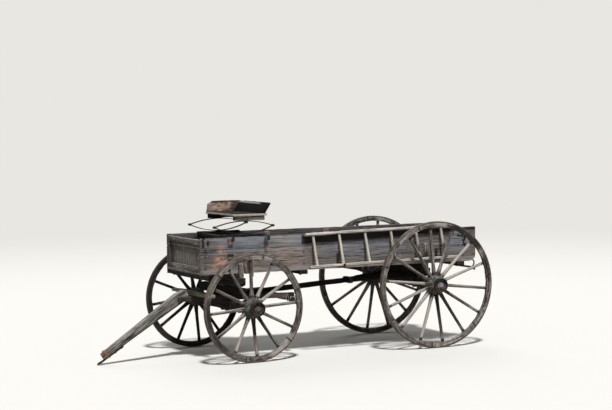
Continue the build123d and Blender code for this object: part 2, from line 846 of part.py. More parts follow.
def ladder_hook(x):
    """An iron hook on the left side that carries the lower rail of the ladder."""
    rail_z = box_low + ladder_up + (ladder_front - x - hook_wide / 2) * tan(radians(ladder_rise))
    lean = radians(ladder_lean)
    seat = rail_z - (half_deep * sin(lean) + rail_thick / 2 * cos(lean)) / cos(radians(ladder_rise)) - ladder_touch
    lip = outside + ladder_out + half_deep * cos(lean) + rail_thick / 2 * sin(lean) + 3
    points = [
        (outside, box_low + hook_top),
        (outside, seat - hook_thick),
        (lip + hook_thick, seat - hook_thick),
        (lip + hook_thick, seat + hook_lip),
        (lip, seat + hook_lip),
        (lip, seat),
        (outside + hook_thick, seat),
        (outside + hook_thick, box_low + hook_top),
    ]
    return front_view(points, x - hook_wide / 2, x + hook_wide / 2)


add("ladder_hooks", [ladder_hook(x) for x in hook_x])

# Wheels on their axles
for place, phase in spoke_phase.items():
    front = place.startswith("front")
    radius = front_radius if front else rear_radius
    x = 0 if front else -wheelbase
    pieces = wheel(radius, front_spokes if front else rear_spokes, phase)
    for piece, solids in pieces.items():
        pick = 0 if place.endswith("left") else 1
        add(f"{place}_{piece}", [at_wheel(solid, x, radius)[pick] for solid in solids], turns=front)

# The front carriage turns to its parked angle, then all pieces move until the origin is under the middle
for name in steered:
    nodes[name] = [Rot(0, 0, parked_steer) * solid for solid in nodes[name]]
front_end = nodes["tongue_iron"][0].bounding_box().max.X
rear_end = -wheelbase - rear_radius
king_bolt_x = -(front_end + rear_end) / 2

os.makedirs("parts", exist_ok=True)
for name, solids in nodes.items():
    moved = [Pos(king_bolt_x, 0, 0) * solid for solid in solids]
    export_step(Compound(children=moved) if len(moved) > 1 else moved[0], f"parts/{name}.step")
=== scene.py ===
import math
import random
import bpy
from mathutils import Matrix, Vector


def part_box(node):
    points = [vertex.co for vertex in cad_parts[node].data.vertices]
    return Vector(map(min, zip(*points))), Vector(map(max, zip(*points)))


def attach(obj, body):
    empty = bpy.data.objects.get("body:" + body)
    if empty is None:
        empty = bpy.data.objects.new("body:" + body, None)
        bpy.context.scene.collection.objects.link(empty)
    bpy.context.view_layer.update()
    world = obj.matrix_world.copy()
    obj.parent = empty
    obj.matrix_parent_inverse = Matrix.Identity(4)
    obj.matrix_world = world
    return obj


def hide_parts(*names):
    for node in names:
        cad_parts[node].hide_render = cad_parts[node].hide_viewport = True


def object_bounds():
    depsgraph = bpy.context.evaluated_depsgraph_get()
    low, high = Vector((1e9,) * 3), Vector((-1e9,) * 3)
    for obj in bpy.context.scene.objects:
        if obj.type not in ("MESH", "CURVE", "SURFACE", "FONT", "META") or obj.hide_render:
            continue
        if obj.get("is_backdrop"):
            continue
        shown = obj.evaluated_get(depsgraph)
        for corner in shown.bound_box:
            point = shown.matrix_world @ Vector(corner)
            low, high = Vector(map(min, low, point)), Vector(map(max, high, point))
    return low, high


bl_info = {
    "name": "Farm wagon",
    "version": (1, 0, 0),
    "blender": (4, 5, 0),
    "location": "3D View > Sidebar > Wagon",
    "description": "Weathered timbers, spoked wheels, irons and stage of an old farm wagon",
    "category": "Add Mesh",
}

import bmesh
import bpy
from bpy.props import FloatProperty, FloatVectorProperty, IntProperty, PointerProperty
from bpy.types import Operator, Panel, PropertyGroup
from mathutils import Matrix, Vector, noise

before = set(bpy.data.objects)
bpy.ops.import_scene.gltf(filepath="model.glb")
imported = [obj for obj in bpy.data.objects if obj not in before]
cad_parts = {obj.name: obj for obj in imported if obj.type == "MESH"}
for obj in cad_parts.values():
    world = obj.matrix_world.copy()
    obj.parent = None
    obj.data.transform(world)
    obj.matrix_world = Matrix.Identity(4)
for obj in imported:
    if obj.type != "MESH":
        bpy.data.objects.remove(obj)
CAD_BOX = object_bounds()

MM = 0.001
# Points closer than this are one, and every piece stays this far inside the model's box
CLOSE = 0.02 * MM
WHEELS = ("front_left", "front_right", "rear_left", "rear_right")
# The angle of one spoke of each wheel, from the front towards the ground
SPOKE_PHASE = {"front_left": 3.6, "front_right": 7.0, "rear_left": 19.3, "rear_right": 5.6}
SPOKES = {"front": 12, "rear": 14}
PARKED_STEER = math.radians(3.25)
# Places in the wagon's frame, in metres
KING_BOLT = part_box("king_bolt")[0].lerp(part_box("king_bolt")[1], 0.5)
SIDE_LOW, SIDE_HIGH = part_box("left_side")
REAR_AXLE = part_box("rear_axle")[0].lerp(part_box("rear_axle")[1], 0.5)
# The tongue's pin from the king bolt with the carriage straight, and how far the tongue drops
TONGUE_PIN = Vector((0.505, 0, 0.627))
TONGUE_DROP = math.radians(31.348)
# The tongue from its pin: where its taper starts and ends, and how high its top is over its line at each
TONGUE_TAPER, TONGUE_TOPS, TONGUE_UNDER = (0.13, 1.02), (0.062, 0.022), 0.050
# Where the camera stands, in metres, and its directions to the right and ahead
CAMERA_PLACE = (7.011, 15.416, 2.327)
CAMERA_RIGHT = (-0.9038, 0.4277, -0.0146)
CAMERA_AHEAD = (-0.4267, -0.9033, -0.0449)
# The floor takes the background's colour between these distances from the wagon's middle, in metres
FLOOR_FADES = (6.0, 22.0)


def linear(colour):
    """An sRGB hex colour as linear red, green, blue and alpha."""
    parts = [int(colour[k:k + 2], 16) / 255 for k in (1, 3, 5)]
    return tuple(c / 12.92 if c <= 0.04045 else ((c + 0.055) / 1.055) ** 2.4 for c in parts) + (1.0,)


def colour_of(text, name, description):
    return FloatVectorProperty(
        name=name, description=description, subtype="COLOR", size=4, min=0, max=1, default=linear(text)
    )


def length_of(mm, name, description):
    return FloatProperty(name=name, description=description, default=mm * MM, min=0, unit="LENGTH")


def number_of(default, name, description, **limits):
    return FloatProperty(name=name, description=description, default=default, **limits)


class WagonColours(PropertyGroup):
    box_dark: colour_of("#2b2a2b", "Box dark", "Dark of the paint and of the cracks in the boards")
    box_paint: colour_of("#716e70", "Box paint", "Blue-grey that is left of the paint on the box")
    box_light: colour_of("#aaa7a4", "Box light", "Chalked paint and bleached fibres on the box")
    box_bare: colour_of("#7c6f63", "Box bare wood", "Brown wood where the paint has gone")
    box_primer: colour_of("#d6a28b", "Box primer", "Orange-red primer that shows through")
    gate_dark: colour_of("#2a2826", "Plain board dark", "Dark of the unpainted boards")
    gate_mid: colour_of("#66635f", "Plain board", "Grey-brown of the unpainted boards")
    gate_light: colour_of("#aba7a1", "Plain board light", "Bleached fibres of the unpainted boards")
    # The gear's colours are near black: grime, and painted shade under the box
    gear_dark: colour_of("#121112", "Gear dark", "Dark of the timbers under the box")
    gear_mid: colour_of("#2b2929", "Gear", "Grime-darkened oak of the running gear")
    gear_light: colour_of("#56524f", "Gear light", "Worn edges of the running gear")
    wheel_dark: colour_of("#1e1a19", "Wheel dark", "Cracks and grime of the wheels")
    wheel_mid: colour_of("#6a6562", "Wheel", "Grey-brown of the wheels' wood")
    wheel_light: colour_of("#bcb6ae", "Wheel light", "Bleached fibres of the wheels' wood")
    tongue_dark: colour_of("#242120", "Tongue dark", "Cracks of the tongue")
    tongue_mid: colour_of("#7a7772", "Tongue", "Silver-grey of the tongue")
    tongue_light: colour_of("#bfbab2", "Tongue light", "Bleached fibres of the tongue")
    ladder_dark: colour_of("#4a4541", "Ladder dark", "Cracks of the ladder")
    ladder_mid: colour_of("#b0aaa3", "Ladder", "Pale grey of the ladder's rails")
    ladder_light: colour_of("#eae5dc", "Ladder light", "Sun-bleached wood of the ladder")
    rung: colour_of("#c8bfb2", "Rungs", "Cream of the ladder's rungs, worn by feet")
    seat_dark: colour_of("#1a1718", "Seat dark", "Near-black stain of the seat")
    seat_mid: colour_of("#745f53", "Seat", "Brown of the seat's end panel")
    seat_light: colour_of("#d6b9a2", "Seat light", "Worn wood of the seat")
    # The seat's back is near black all over
    back_mid: colour_of("#141415", "Seat back", "Black stain of the seat's back")
    back_light: colour_of("#8b8894", "Seat back edge", "Worn edges of the seat's back")
    board_edge: colour_of("#cfc8bc", "Seat board edge", "Bleached edges of the seat's board and rails")
    iron_dark: colour_of("#151314", "Iron dark", "Black scale on the irons")
    iron_rust: colour_of("#36291f", "Iron rust", "Brown rust on the irons")
    iron_orange: colour_of("#8f5b37", "Iron fresh rust", "Orange rust in corners and pits")
    box_blue: colour_of("#8a909b", "Box blue", "Best of the blue-grey paint, high on the left side")
    box_streak: colour_of("#b39f90", "Box streak", "Orange-brown streaks of bare wood on the left side")
    # Black painted shade: the box's inner faces and top edges, and the shadow under the ladder's upper rail
    box_inside: colour_of("#141313", "Box inside", "Damp-blackened inner faces and top edges of the box")
    tyre_dust: colour_of("#665f58", "Tyre dust", "Grey-brown dust and rust on the tyres")
    hub_mid: colour_of("#444240", "Hub", "Dirty grey-brown of the hubs")
    steel_worn: colour_of("#98969a", "Worn iron", "Grey of the axle nuts where they rub")
    red_paint: colour_of("#a04a35", "Red paint", "Red paint that is left on the upper loops")
    floor: colour_of("#e9e7e2", "Floor", "Pale floor and background")
    floor_bounce: colour_of("#8f857a", "Floor bounce", "Colour of the light that the floor throws up")


class WagonSizes(PropertyGroup):
    board_arris: length_of(3.5, "Board edge", "Width of the worn edge of boards")
    beam_arris: length_of(6.0, "Beam edge", "Width of the worn edge of beams")
    board_chip: length_of(3.0, "Board chips", "Depth of the chips out of the boards' edges")
    beam_chip: length_of(4.0, "Beam chips", "Depth of the chips out of the beams' edges")
    warp: length_of(1.6, "Warp", "How far boards bow out of line")
    cut_every: length_of(70.0, "Mesh step", "Length of a mesh face along a timber")
    bolt_head: length_of(11.0, "Bolt head radius", "Radius of a carriage bolt's head")
    nut_side: length_of(22.0, "Nut", "Width of a square nut")
    felloe_joint: length_of(6.0, "Felloe joint", "Open joint between two felloes")
    felloe_round: length_of(11.0, "Felloe rounding", "Rounding of a felloe's inner edges between spokes")
    hub_check: length_of(2.6, "Hub cracks", "Depth of the cracks in a hub")
    seed: IntProperty(name="Seed", description="Picks the chips and warps", default=7, min=0)


class WagonStage(PropertyGroup):
    lens: number_of(92.19, "Lens", "Focal length on a 36 mm frame", min=10, unit="CAMERA")
    floor_radius: number_of(90.0, "Floor radius", "Radius of the floor", unit="LENGTH")
    key_strength: number_of(3.45, "Key light", "Strength of the soft key light")
    fill_strength: number_of(0.14, "Fill light", "Strength of the light all round")
    back_strength: number_of(0.65, "Back light", "Strength of the soft light from behind")


# Shapes. A shape is (points, faces, grain, half, lot, pale). Grain is each point's place in its timber, the
# first number along the fibres. Half is half the timber's size, lot tells one timber's pattern from the
# next, and pale says how bleached each point is, below 0 how blackened, painted shadow too. A shape of
# iron is (points, faces).
def steered(x, y, z):
    """A point of the front carriage, given from the king bolt with the carriage straight."""
    c, s = math.cos(PARKED_STEER), math.sin(PARKED_STEER)
    return Vector((KING_BOLT.x + x * c - y * s, KING_BOLT.y + x * s + y * c, z))


def lot_of(seed):
    rng = random.Random(seed)
    return Vector([rng.uniform(-40, 40) for _ in range(3)])


def rings_shape(rings, closed=False, capped=True):
    """Faces through rings of points that have the same number of points."""
    count = len(rings[0])
    points = [p for ring in rings for p in ring]
    faces = []
    for r in range(len(rings) if closed else len(rings) - 1):
        near, far = r * count, (r + 1) % len(rings) * count
        for k in range(count):
            j = (k + 1) % count
            faces.append((near + k, near + j, far + j, far + k))
    if capped and not closed:
        faces.append(tuple(range(count)))
        faces.append(tuple(reversed(range((len(rings) - 1) * count, len(rings) * count))))
    return points, faces


def islands(bm):
    """The separate solids of a mesh, each as its points in the mesh's own order."""
    left = set(bm.verts)
    while left:
        found, front = set(), [left.pop()]
        while front:
            vert = front.pop()
            found.add(vert)
            for edge in vert.link_edges:
                other = edge.other_vert(vert)
                if other in left:
                    left.remove(other)
                    front.append(other)
        yield sorted(found, key=lambda vert: vert.index)


def solids_of(node):
    """The solids of a CAD node, each as a mesh of its own with flat faces made whole."""
    bm = bmesh.new()
    bm.from_mesh(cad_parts[node].data)
    bmesh.ops.remove_doubles(bm, verts=bm.verts, dist=CLOSE)
    # A set of points or faces has another order in each run, so all are taken in the order of their numbers
    bm.verts.index_update()
    bm.faces.index_update()
    groups = list(islands(bm))
    groups.sort(key=lambda g: tuple(round(sum(v.co[k] for v in g) / len(g), 4) for k in range(3)))
    result = []
    for group in groups:
        index = {v: k for k, v in enumerate(group)}
        one = bmesh.new()
        verts = [one.verts.new(v.co) for v in group]
        for face in sorted({f for v in group for f in v.link_faces}, key=lambda f: f.index):
            one.faces.new([verts[index[v]] for v in face.verts])
        bmesh.ops.recalc_face_normals(one, faces=one.faces)
        bmesh.ops.dissolve_limit(one, angle_limit=math.radians(0.4), verts=one.verts, edges=one.edges)
        result.append(one)
    bm.free()
    return result


def timber_axes(bm):
    """Directions along, across and through a timber, with its middle and half its size."""
    longest = max(bm.edges, key=lambda e: e.calc_length())
    along = (longest.verts[1].co - longest.verts[0].co).normalized()
    if along[max(range(3), key=lambda k: abs(along[k]))] < 0:
        along = -along
    flats = {}
    for face in bm.faces:
        normal = face.normal - along * face.normal.dot(along)
        if normal.length > 0.5:
            normal.normalize()
            sign = 1 if normal[max(range(3), key=lambda k: abs(normal[k]))] > 0 else -1
            key = tuple(round(c, 1) for c in normal * sign)
            area, seen = flats.get(key, (0, normal * sign))
            flats[key] = (area + face.calc_area(), seen)
    thick = max(flats.values(), key=lambda item: item[0])[1]
    wide = thick.cross(along).normalized()
    axes = Matrix((along, wide, thick))
    local = [axes @ v.co for v in bm.verts]
    low = Vector([min(p[k] for p in local) for k in range(3)])
    high = Vector([max(p[k] for p in local) for k in range(3)])
    return axes, (low + high) / 2, (high - low) / 2


def cut_across(bm, axes, axis, start, end, step):
    count = max(1, round((end - start) / step))
    for k in range(1, count):
        local = Vector((0, 0, 0))
        local[axis] = start + (end - start) * k / count
        place = axes.transposed() @ local
        geometry = bm.verts[:] + bm.edges[:] + bm.faces[:]
        bmesh.ops.bisect_plane(bm, geom=geometry, plane_co=place, plane_no=axes[axis], dist=CLOSE / 2)


def weather(bm, seed, arris, chip, warp, step, width_step=None, pale=0.4, crossways=False):
    """Wears a timber: its edges are rounded and chipped, and it bows a little. Returns its shape."""
    axes, middle, half = timber_axes(bm)
    sharp = [
        e for e in bm.edges
        if len(e.link_faces) == 2 and e.calc_face_angle(0) > 0.5 and e.calc_length() > 5 * arris
    ]
    if sharp and arris:
        bmesh.ops.bevel(
            bm, geom=sharp, offset=arris, segments=2, profile=0.55, affect="EDGES", clamp_overlap=True
        )
    cut_across(bm, axes, 0, middle[0] - half[0], middle[0] + half[0], step)
    if width_step:
        cut_across(bm, axes, 1, middle[1] - half[1], middle[1] + half[1], width_step)
    lot = lot_of(seed)
    grain = []
    # Bevels and cuts number what they make otherwise in each run, so the points are taken by their places
    verts = sorted(bm.verts, key=lambda v: tuple(v.co))
    for vert in verts:
        local = axes @ vert.co - middle
        grain.append(local.copy())
        depth = sorted(half[k] - abs(local[k]) for k in range(3))[1]
        wave = Vector((local[0] * 2.2, 0, 0)) + lot
        move = Vector((0, 0, 0))
        move[2] = warp * noise.noise(wave)
        move[1] = 0.7 * warp * noise.noise(wave + Vector((0, 9, 0)))
        if depth < 1.6 * arris + 0.5 * MM:
            bite = max(0.0, noise.noise(Vector((local[0] * 9, local[1] * 6, local[2] * 6)) + lot))
            small = noise.noise(Vector((local[0] * 31, local[1] * 9, local[2] * 9)) + lot)
            bite += 0.8 * max(0.0, small - 0.15)
            for k in (1, 2):
                if half[k] - abs(local[k]) < 1.6 * arris + 0.5 * MM:
                    move[k] -= math.copysign(min(bite * chip * 2, 0.3 * half[k]), local[k])
        vert.co += axes.transposed() @ move
    points = [v.co.copy() for v in verts]
    number = {v: k for k, v in enumerate(verts)}
    faces = []
    for face in bm.faces:
        corners = [number[v] for v in face.verts]
        first = corners.index(min(corners))
        faces.append(tuple(corners[first:] + corners[:first]))
    faces.sort()
    bm.free()
    tone = pale * random.Random(seed + 5).uniform(0.0, 1.0)
    if crossways:
        grain = [Vector((g[1], g[0], g[2])) for g in grain]
        half = Vector((half[1], half[0], half[2]))
    return points, faces, grain, half, lot, [tone] * len(points)


def inside_box(point):
    """A point, kept inside the model's box."""
    low, high = CAD_BOX
    return Vector([min(max(c, a + CLOSE), b - CLOSE) for c, a, b in zip(point, low, high)])


def make_piece(name, shapes, materials, body, nodes=(), slot=None, pick=None, smooth=35):
    """One object from shapes, riding on a body, and standing for the CAD nodes named."""
    points, faces, grain, half, lot, pale = [], [], [], [], [], []
    for shape in shapes:
        base = len(points)
        points += [inside_box(p) for p in shape[0]]
        faces += [tuple(base + k for k in face) for face in shape[1]]
        if len(shape) > 2:
            grain += shape[2]
            half += [shape[3]] * len(shape[0])
            lot += [shape[4]] * len(shape[0])
            pale += shape[5]
    mesh = bpy.data.meshes.new(name)
    mesh.from_pydata(points, [], faces)
    for key, values in (("grain", grain), ("half", half), ("lot", lot)):
        if values:
            layer = mesh.attributes.new(key, "FLOAT_VECTOR", "POINT")
            layer.data.foreach_set("vector", [c for v in values for c in v])
    if pale:
        mesh.attributes.new("pale", "FLOAT", "POINT").data.foreach_set("value", pale)
    bm = bmesh.new()
    bm.from_mesh(mesh)
    bmesh.ops.recalc_face_normals(bm, faces=bm.faces)
    bm.to_mesh(mesh)
    bm.free()
    mesh.shade_smooth()
    mesh.set_sharp_from_angle(angle=math.radians(smooth))
    for material in materials if isinstance(materials, (list, tuple)) else [materials]:
        mesh.materials.append(material)
    if pick:
        for face in mesh.polygons:
            face.material_index = pick(face)
    piece = bpy.data.objects.new(name, mesh)
    bpy.context.scene.collection.objects.link(piece)
    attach(piece, body)
    if nodes:
        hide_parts(*nodes)


def timbers(node, name, material, body, slot, arris, chip, warp=0.0, step=0.07, width_step=None, pale=0.4,
            pick=None, crossways=False):
    """A CAD node's timbers, weathered, with their fibres along them or crossways."""
    seed = sum(ord(c) * (k + 1) for k, c in enumerate(node)) + bpy.context.scene.wagon_sizes.seed
    shapes = []
    for k, solid in enumerate(solids_of(node)):
        shapes.append(weather(solid, seed * 31 + k, arris, chip, warp, step, width_step, pale, crossways))
    make_piece(name, shapes, material, body, (node,), slot, pick)


# Materials
def add_node(tree, kind, inputs=None, **settings):
    """A node with its settings, and its inputs set to values or linked to other nodes' sockets."""
    made = tree.nodes.new(kind)
    for key, value in settings.items():
        setattr(made, key, value)
    for key, value in (inputs or {}).items():
        if isinstance(value, bpy.types.NodeSocket):
            tree.links.new(value, made.inputs[key])
        else:
            made.inputs[key].default_value = value
    return made


def new_material(name):
    """An empty material with its shader, and its tree."""
    material = bpy.data.materials.new(name)
    material.use_nodes = True
    tree = material.node_tree
    tree.nodes.clear()
    shader = tree.nodes.new("ShaderNodeBsdfPrincipled")
    add_node(tree, "ShaderNodeOutputMaterial", {"Surface": shader.outputs[0]})
    return material, tree, shader


def stretched(tree, place, along_mm, across_mm, **inputs):
    """Noise drawn out along the fibres, with spots of a real size in millimetres."""
    scale = (1000 / along_mm, 1000 / across_mm, 1000 / across_mm)
    scaled = add_node(tree, "ShaderNodeVectorMath", {0: place, 1: scale}, operation="MULTIPLY")
    values = {"Vector": scaled.outputs[0], "Scale": 1.0, "Detail": 3.0, "Roughness": 0.6}
    values.update(inputs)
    return add_node(tree, "ShaderNodeTexNoise", values).outputs["Fac"]


def spots_of(tree, place, size_mm, detail):
    """Noise with round spots of a real size in millimetres."""
    inputs = {"Vector": place, "Scale": 1000 / size_mm, "Detail": detail}
    return add_node(tree, "ShaderNodeTexNoise", inputs).outputs["Fac"]


def mask_of(tree, value, low, high, top=1.0, bottom=0.0):
    """A soft step from bottom to top as a value goes from low to high."""
    inputs = {"Value": value, "From Min": low, "From Max": high, "To Min": bottom, "To Max": top}
    return add_node(tree, "ShaderNodeMapRange", inputs, interpolation_type="SMOOTHSTEP").outputs["Result"]


def maths(tree, operation, a, b=0.0):
    return add_node(tree, "ShaderNodeMath", {0: a, 1: b}, operation=operation).outputs[0]


def times(tree, a, b):
    return maths(tree, "MULTIPLY", a, b)


def plus(tree, a, b):
    return maths(tree, "ADD", a, b)


def minus(tree, a, b):
    return maths(tree, "SUBTRACT", a, b)


def ragged_by(tree, value, noisy, much):
    """A value moved up and down by noise, so that a line drawn from it isn't straight."""
    return plus(tree, value, times(tree, minus(tree, noisy, 0.5), much))


def place_in_object(tree):
    """The three numbers of each point's place in its object, in metres."""
    place = add_node(tree, "ShaderNodeTexCoord").outputs["Object"]
    return add_node(tree, "ShaderNodeSeparateXYZ", {0: place}).outputs


def mixed(tree, factor, a, b, blend="MIX"):
    return add_node(
        tree, "ShaderNodeMix", {0: factor, 6: a, 7: b}, data_type="RGBA", blend_type=blend
    ).outputs[2]


def weathered_wood(name, dark, middle, light, fibre_mm=9.0, check=1.0, edge=None, edge_mm=9.0, paint=None,
                   sun=0.0, dirt=0.18, contrast=1.0, gloss=0.25):
    """Old wood in the open: bleached ridges, dark soft wood between them, long checks and worn edges."""
    material, tree, shader = new_material(name)
    local = add_node(tree, "ShaderNodeAttribute", attribute_name="grain").outputs["Vector"]
    half = add_node(tree, "ShaderNodeAttribute", attribute_name="half").outputs["Vector"]
    lot = add_node(tree, "ShaderNodeAttribute", attribute_name="lot").outputs["Vector"]
    pale = add_node(tree, "ShaderNodeAttribute", attribute_name="pale").outputs["Fac"]
    place = add_node(tree, "ShaderNodeVectorMath", {0: local, 1: lot}, operation="ADD").outputs[0]
    # Real fibres are under a millimetre wide, so the ridges are drawn about ten times as coarse
    fibre = stretched(tree, place, fibre_mm * 26, fibre_mm * 0.9, Detail=5.0, Distortion=0.2)
    streak = stretched(tree, place, fibre_mm * 70, fibre_mm * 4, Detail=2.0)
    # Dirt and lichen in spots of a few centimetres
    spots = stretched(tree, place, 48, 30, Detail=4.0, Roughness=0.7)
    blotch = stretched(tree, place, 420, 160, Detail=3.0)
    tone = plus(tree, times(tree, fibre, 0.8 - dirt), times(tree, streak, 0.2))
    tone = plus(tree, tone, times(tree, spots, dirt))
    tone = plus(tree, tone, times(tree, minus(tree, pale, 0.25), 0.12))
    ramp = add_node(tree, "ShaderNodeValToRGB", {"Fac": tone})
    stops = ramp.color_ramp.elements
    stops[0].position, stops[0].color = 0.5 - 0.11 / contrast, dark
    stops[1].position, stops[1].color = 0.5 + 0.13 / contrast, light
    stops.new(0.5).color = middle
    colour = mixed(tree, mask_of(tree, blotch, 0.38, 0.62, 0.3), ramp.outputs[0], middle)
    if paint:
        colour = paint(tree, colour, place, fibre, blotch)
    # Drying checks, a millimetre or two wide in life and drawn at about four
    line = stretched(tree, place, fibre_mm * 85, fibre_mm * 3.2, Detail=1.5, Distortion=0.3)
    line = maths(tree, "ABSOLUTE", minus(tree, line, 0.5))
    crack = times(tree, mask_of(tree, line, 0.0, 0.022, 0.0, 1.0), mask_of(tree, blotch, 0.42, 0.6))
    colour = mixed(tree, times(tree, crack, 0.85 * check), colour, linear("#0d0c0c"))
    # Distance from the nearest edge, as the middle one of the three distances from the timber's faces
    size = add_node(tree, "ShaderNodeVectorMath", {0: local}, operation="ABSOLUTE").outputs[0]
    gap = add_node(tree, "ShaderNodeVectorMath", {0: half, 1: size}, operation="SUBTRACT").outputs[0]
    parts = add_node(tree, "ShaderNodeSeparateXYZ", {0: gap}).outputs
    low = maths(tree, "MINIMUM", parts[0], parts[1])
    high = maths(tree, "MAXIMUM", parts[0], parts[1])
    from_edge = maths(tree, "MAXIMUM", low, maths(tree, "MINIMUM", high, parts[2]))
    from_edge = ragged_by(tree, from_edge, fibre, 0.03)
    worn = mask_of(tree, from_edge, 0.0, edge_mm * MM, 0.0, 1.0)
    colour = mixed(tree, times(tree, worn, 0.65), colour, edge or light)
    # Bleached patches, and tops that the sun reaches: sun bleaching, with faces that point up painted lighter
    bleached_and_lit = times(tree, mask_of(tree, pale, 0.3, 1.0, 0.75), mask_of(tree, fibre, 0.3, 0.58, 1.0, 0.2))
    if sun:
        normal = add_node(tree, "ShaderNodeNewGeometry").outputs["Normal"]
        up = add_node(tree, "ShaderNodeSeparateXYZ", {0: normal}).outputs[2]
        top = times(tree, mask_of(tree, up, 0.55, 0.9, sun), mask_of(tree, fibre, 0.3, 0.55, 1.0, 0.3))
        bleached_and_lit = maths(tree, "MAXIMUM", bleached_and_lit, top)
    colour = mixed(tree, bleached_and_lit, colour, light)
    tree.links.new(colour, shader.inputs["Base Color"])
    tree.links.new(mask_of(tree, fibre, 0.3, 0.7, 0.78, 0.95), shader.inputs["Roughness"])
    height = minus(tree, fibre, times(tree, crack, check))
    bump = add_node(tree, "ShaderNodeBump", {"Strength": 0.7, "Distance": 2.2 * MM, "Height": height})
    tree.links.new(bump.outputs[0], shader.inputs["Normal"])
    shader.inputs["Specular IOR Level"].default_value = gloss
    return material


def rusted_iron(name, dark, rust, orange, share, metallic):
    """Forged iron left outside: black scale under brown rust, with orange rust in the pits."""
    material, tree, shader = new_material(name)
    place = add_node(tree, "ShaderNodeTexCoord").outputs["Object"]
    patch = spots_of(tree, place, 70, 5.0)
    # Pits of a millimetre or two, drawn at about six
    pits = spots_of(tree, place, 6, 3.0)
    colour = mixed(tree, mask_of(tree, patch, share - 0.18, share + 0.1), dark, rust)
    fresh = times(tree, mask_of(tree, patch, share + 0.04, share + 0.22), mask_of(tree, pits, 0.45, 0.6))
    colour = mixed(tree, times(tree, fresh, 0.8), colour, orange)
    tree.links.new(colour, shader.inputs["Base Color"])
    tree.links.new(mask_of(tree, patch, 0.35, 0.65, 0.88, 0.62), shader.inputs["Roughness"])
    bump = add_node(tree, "ShaderNodeBump", {"Strength": 0.5, "Distance": 0.8 * MM, "Height": pits})
    tree.links.new(bump.outputs[0], shader.inputs["Normal"])
    shader.inputs["Metallic"].default_value = metallic
    return material


def patch_at(tree, spot, x, z, wide, high):
    """A soft oval patch on a side, 1 in its middle and 0 outside, by its place and size in metres."""
    across = times(tree, minus(tree, spot[0], x), 2 / wide)
    up = times(tree, minus(tree, spot[2], z), 2 / high)
    away = plus(tree, times(tree, across, across), times(tree, up, up))
    return mask_of(tree, away, 0.1, 1.0, 0.0, 1.0)


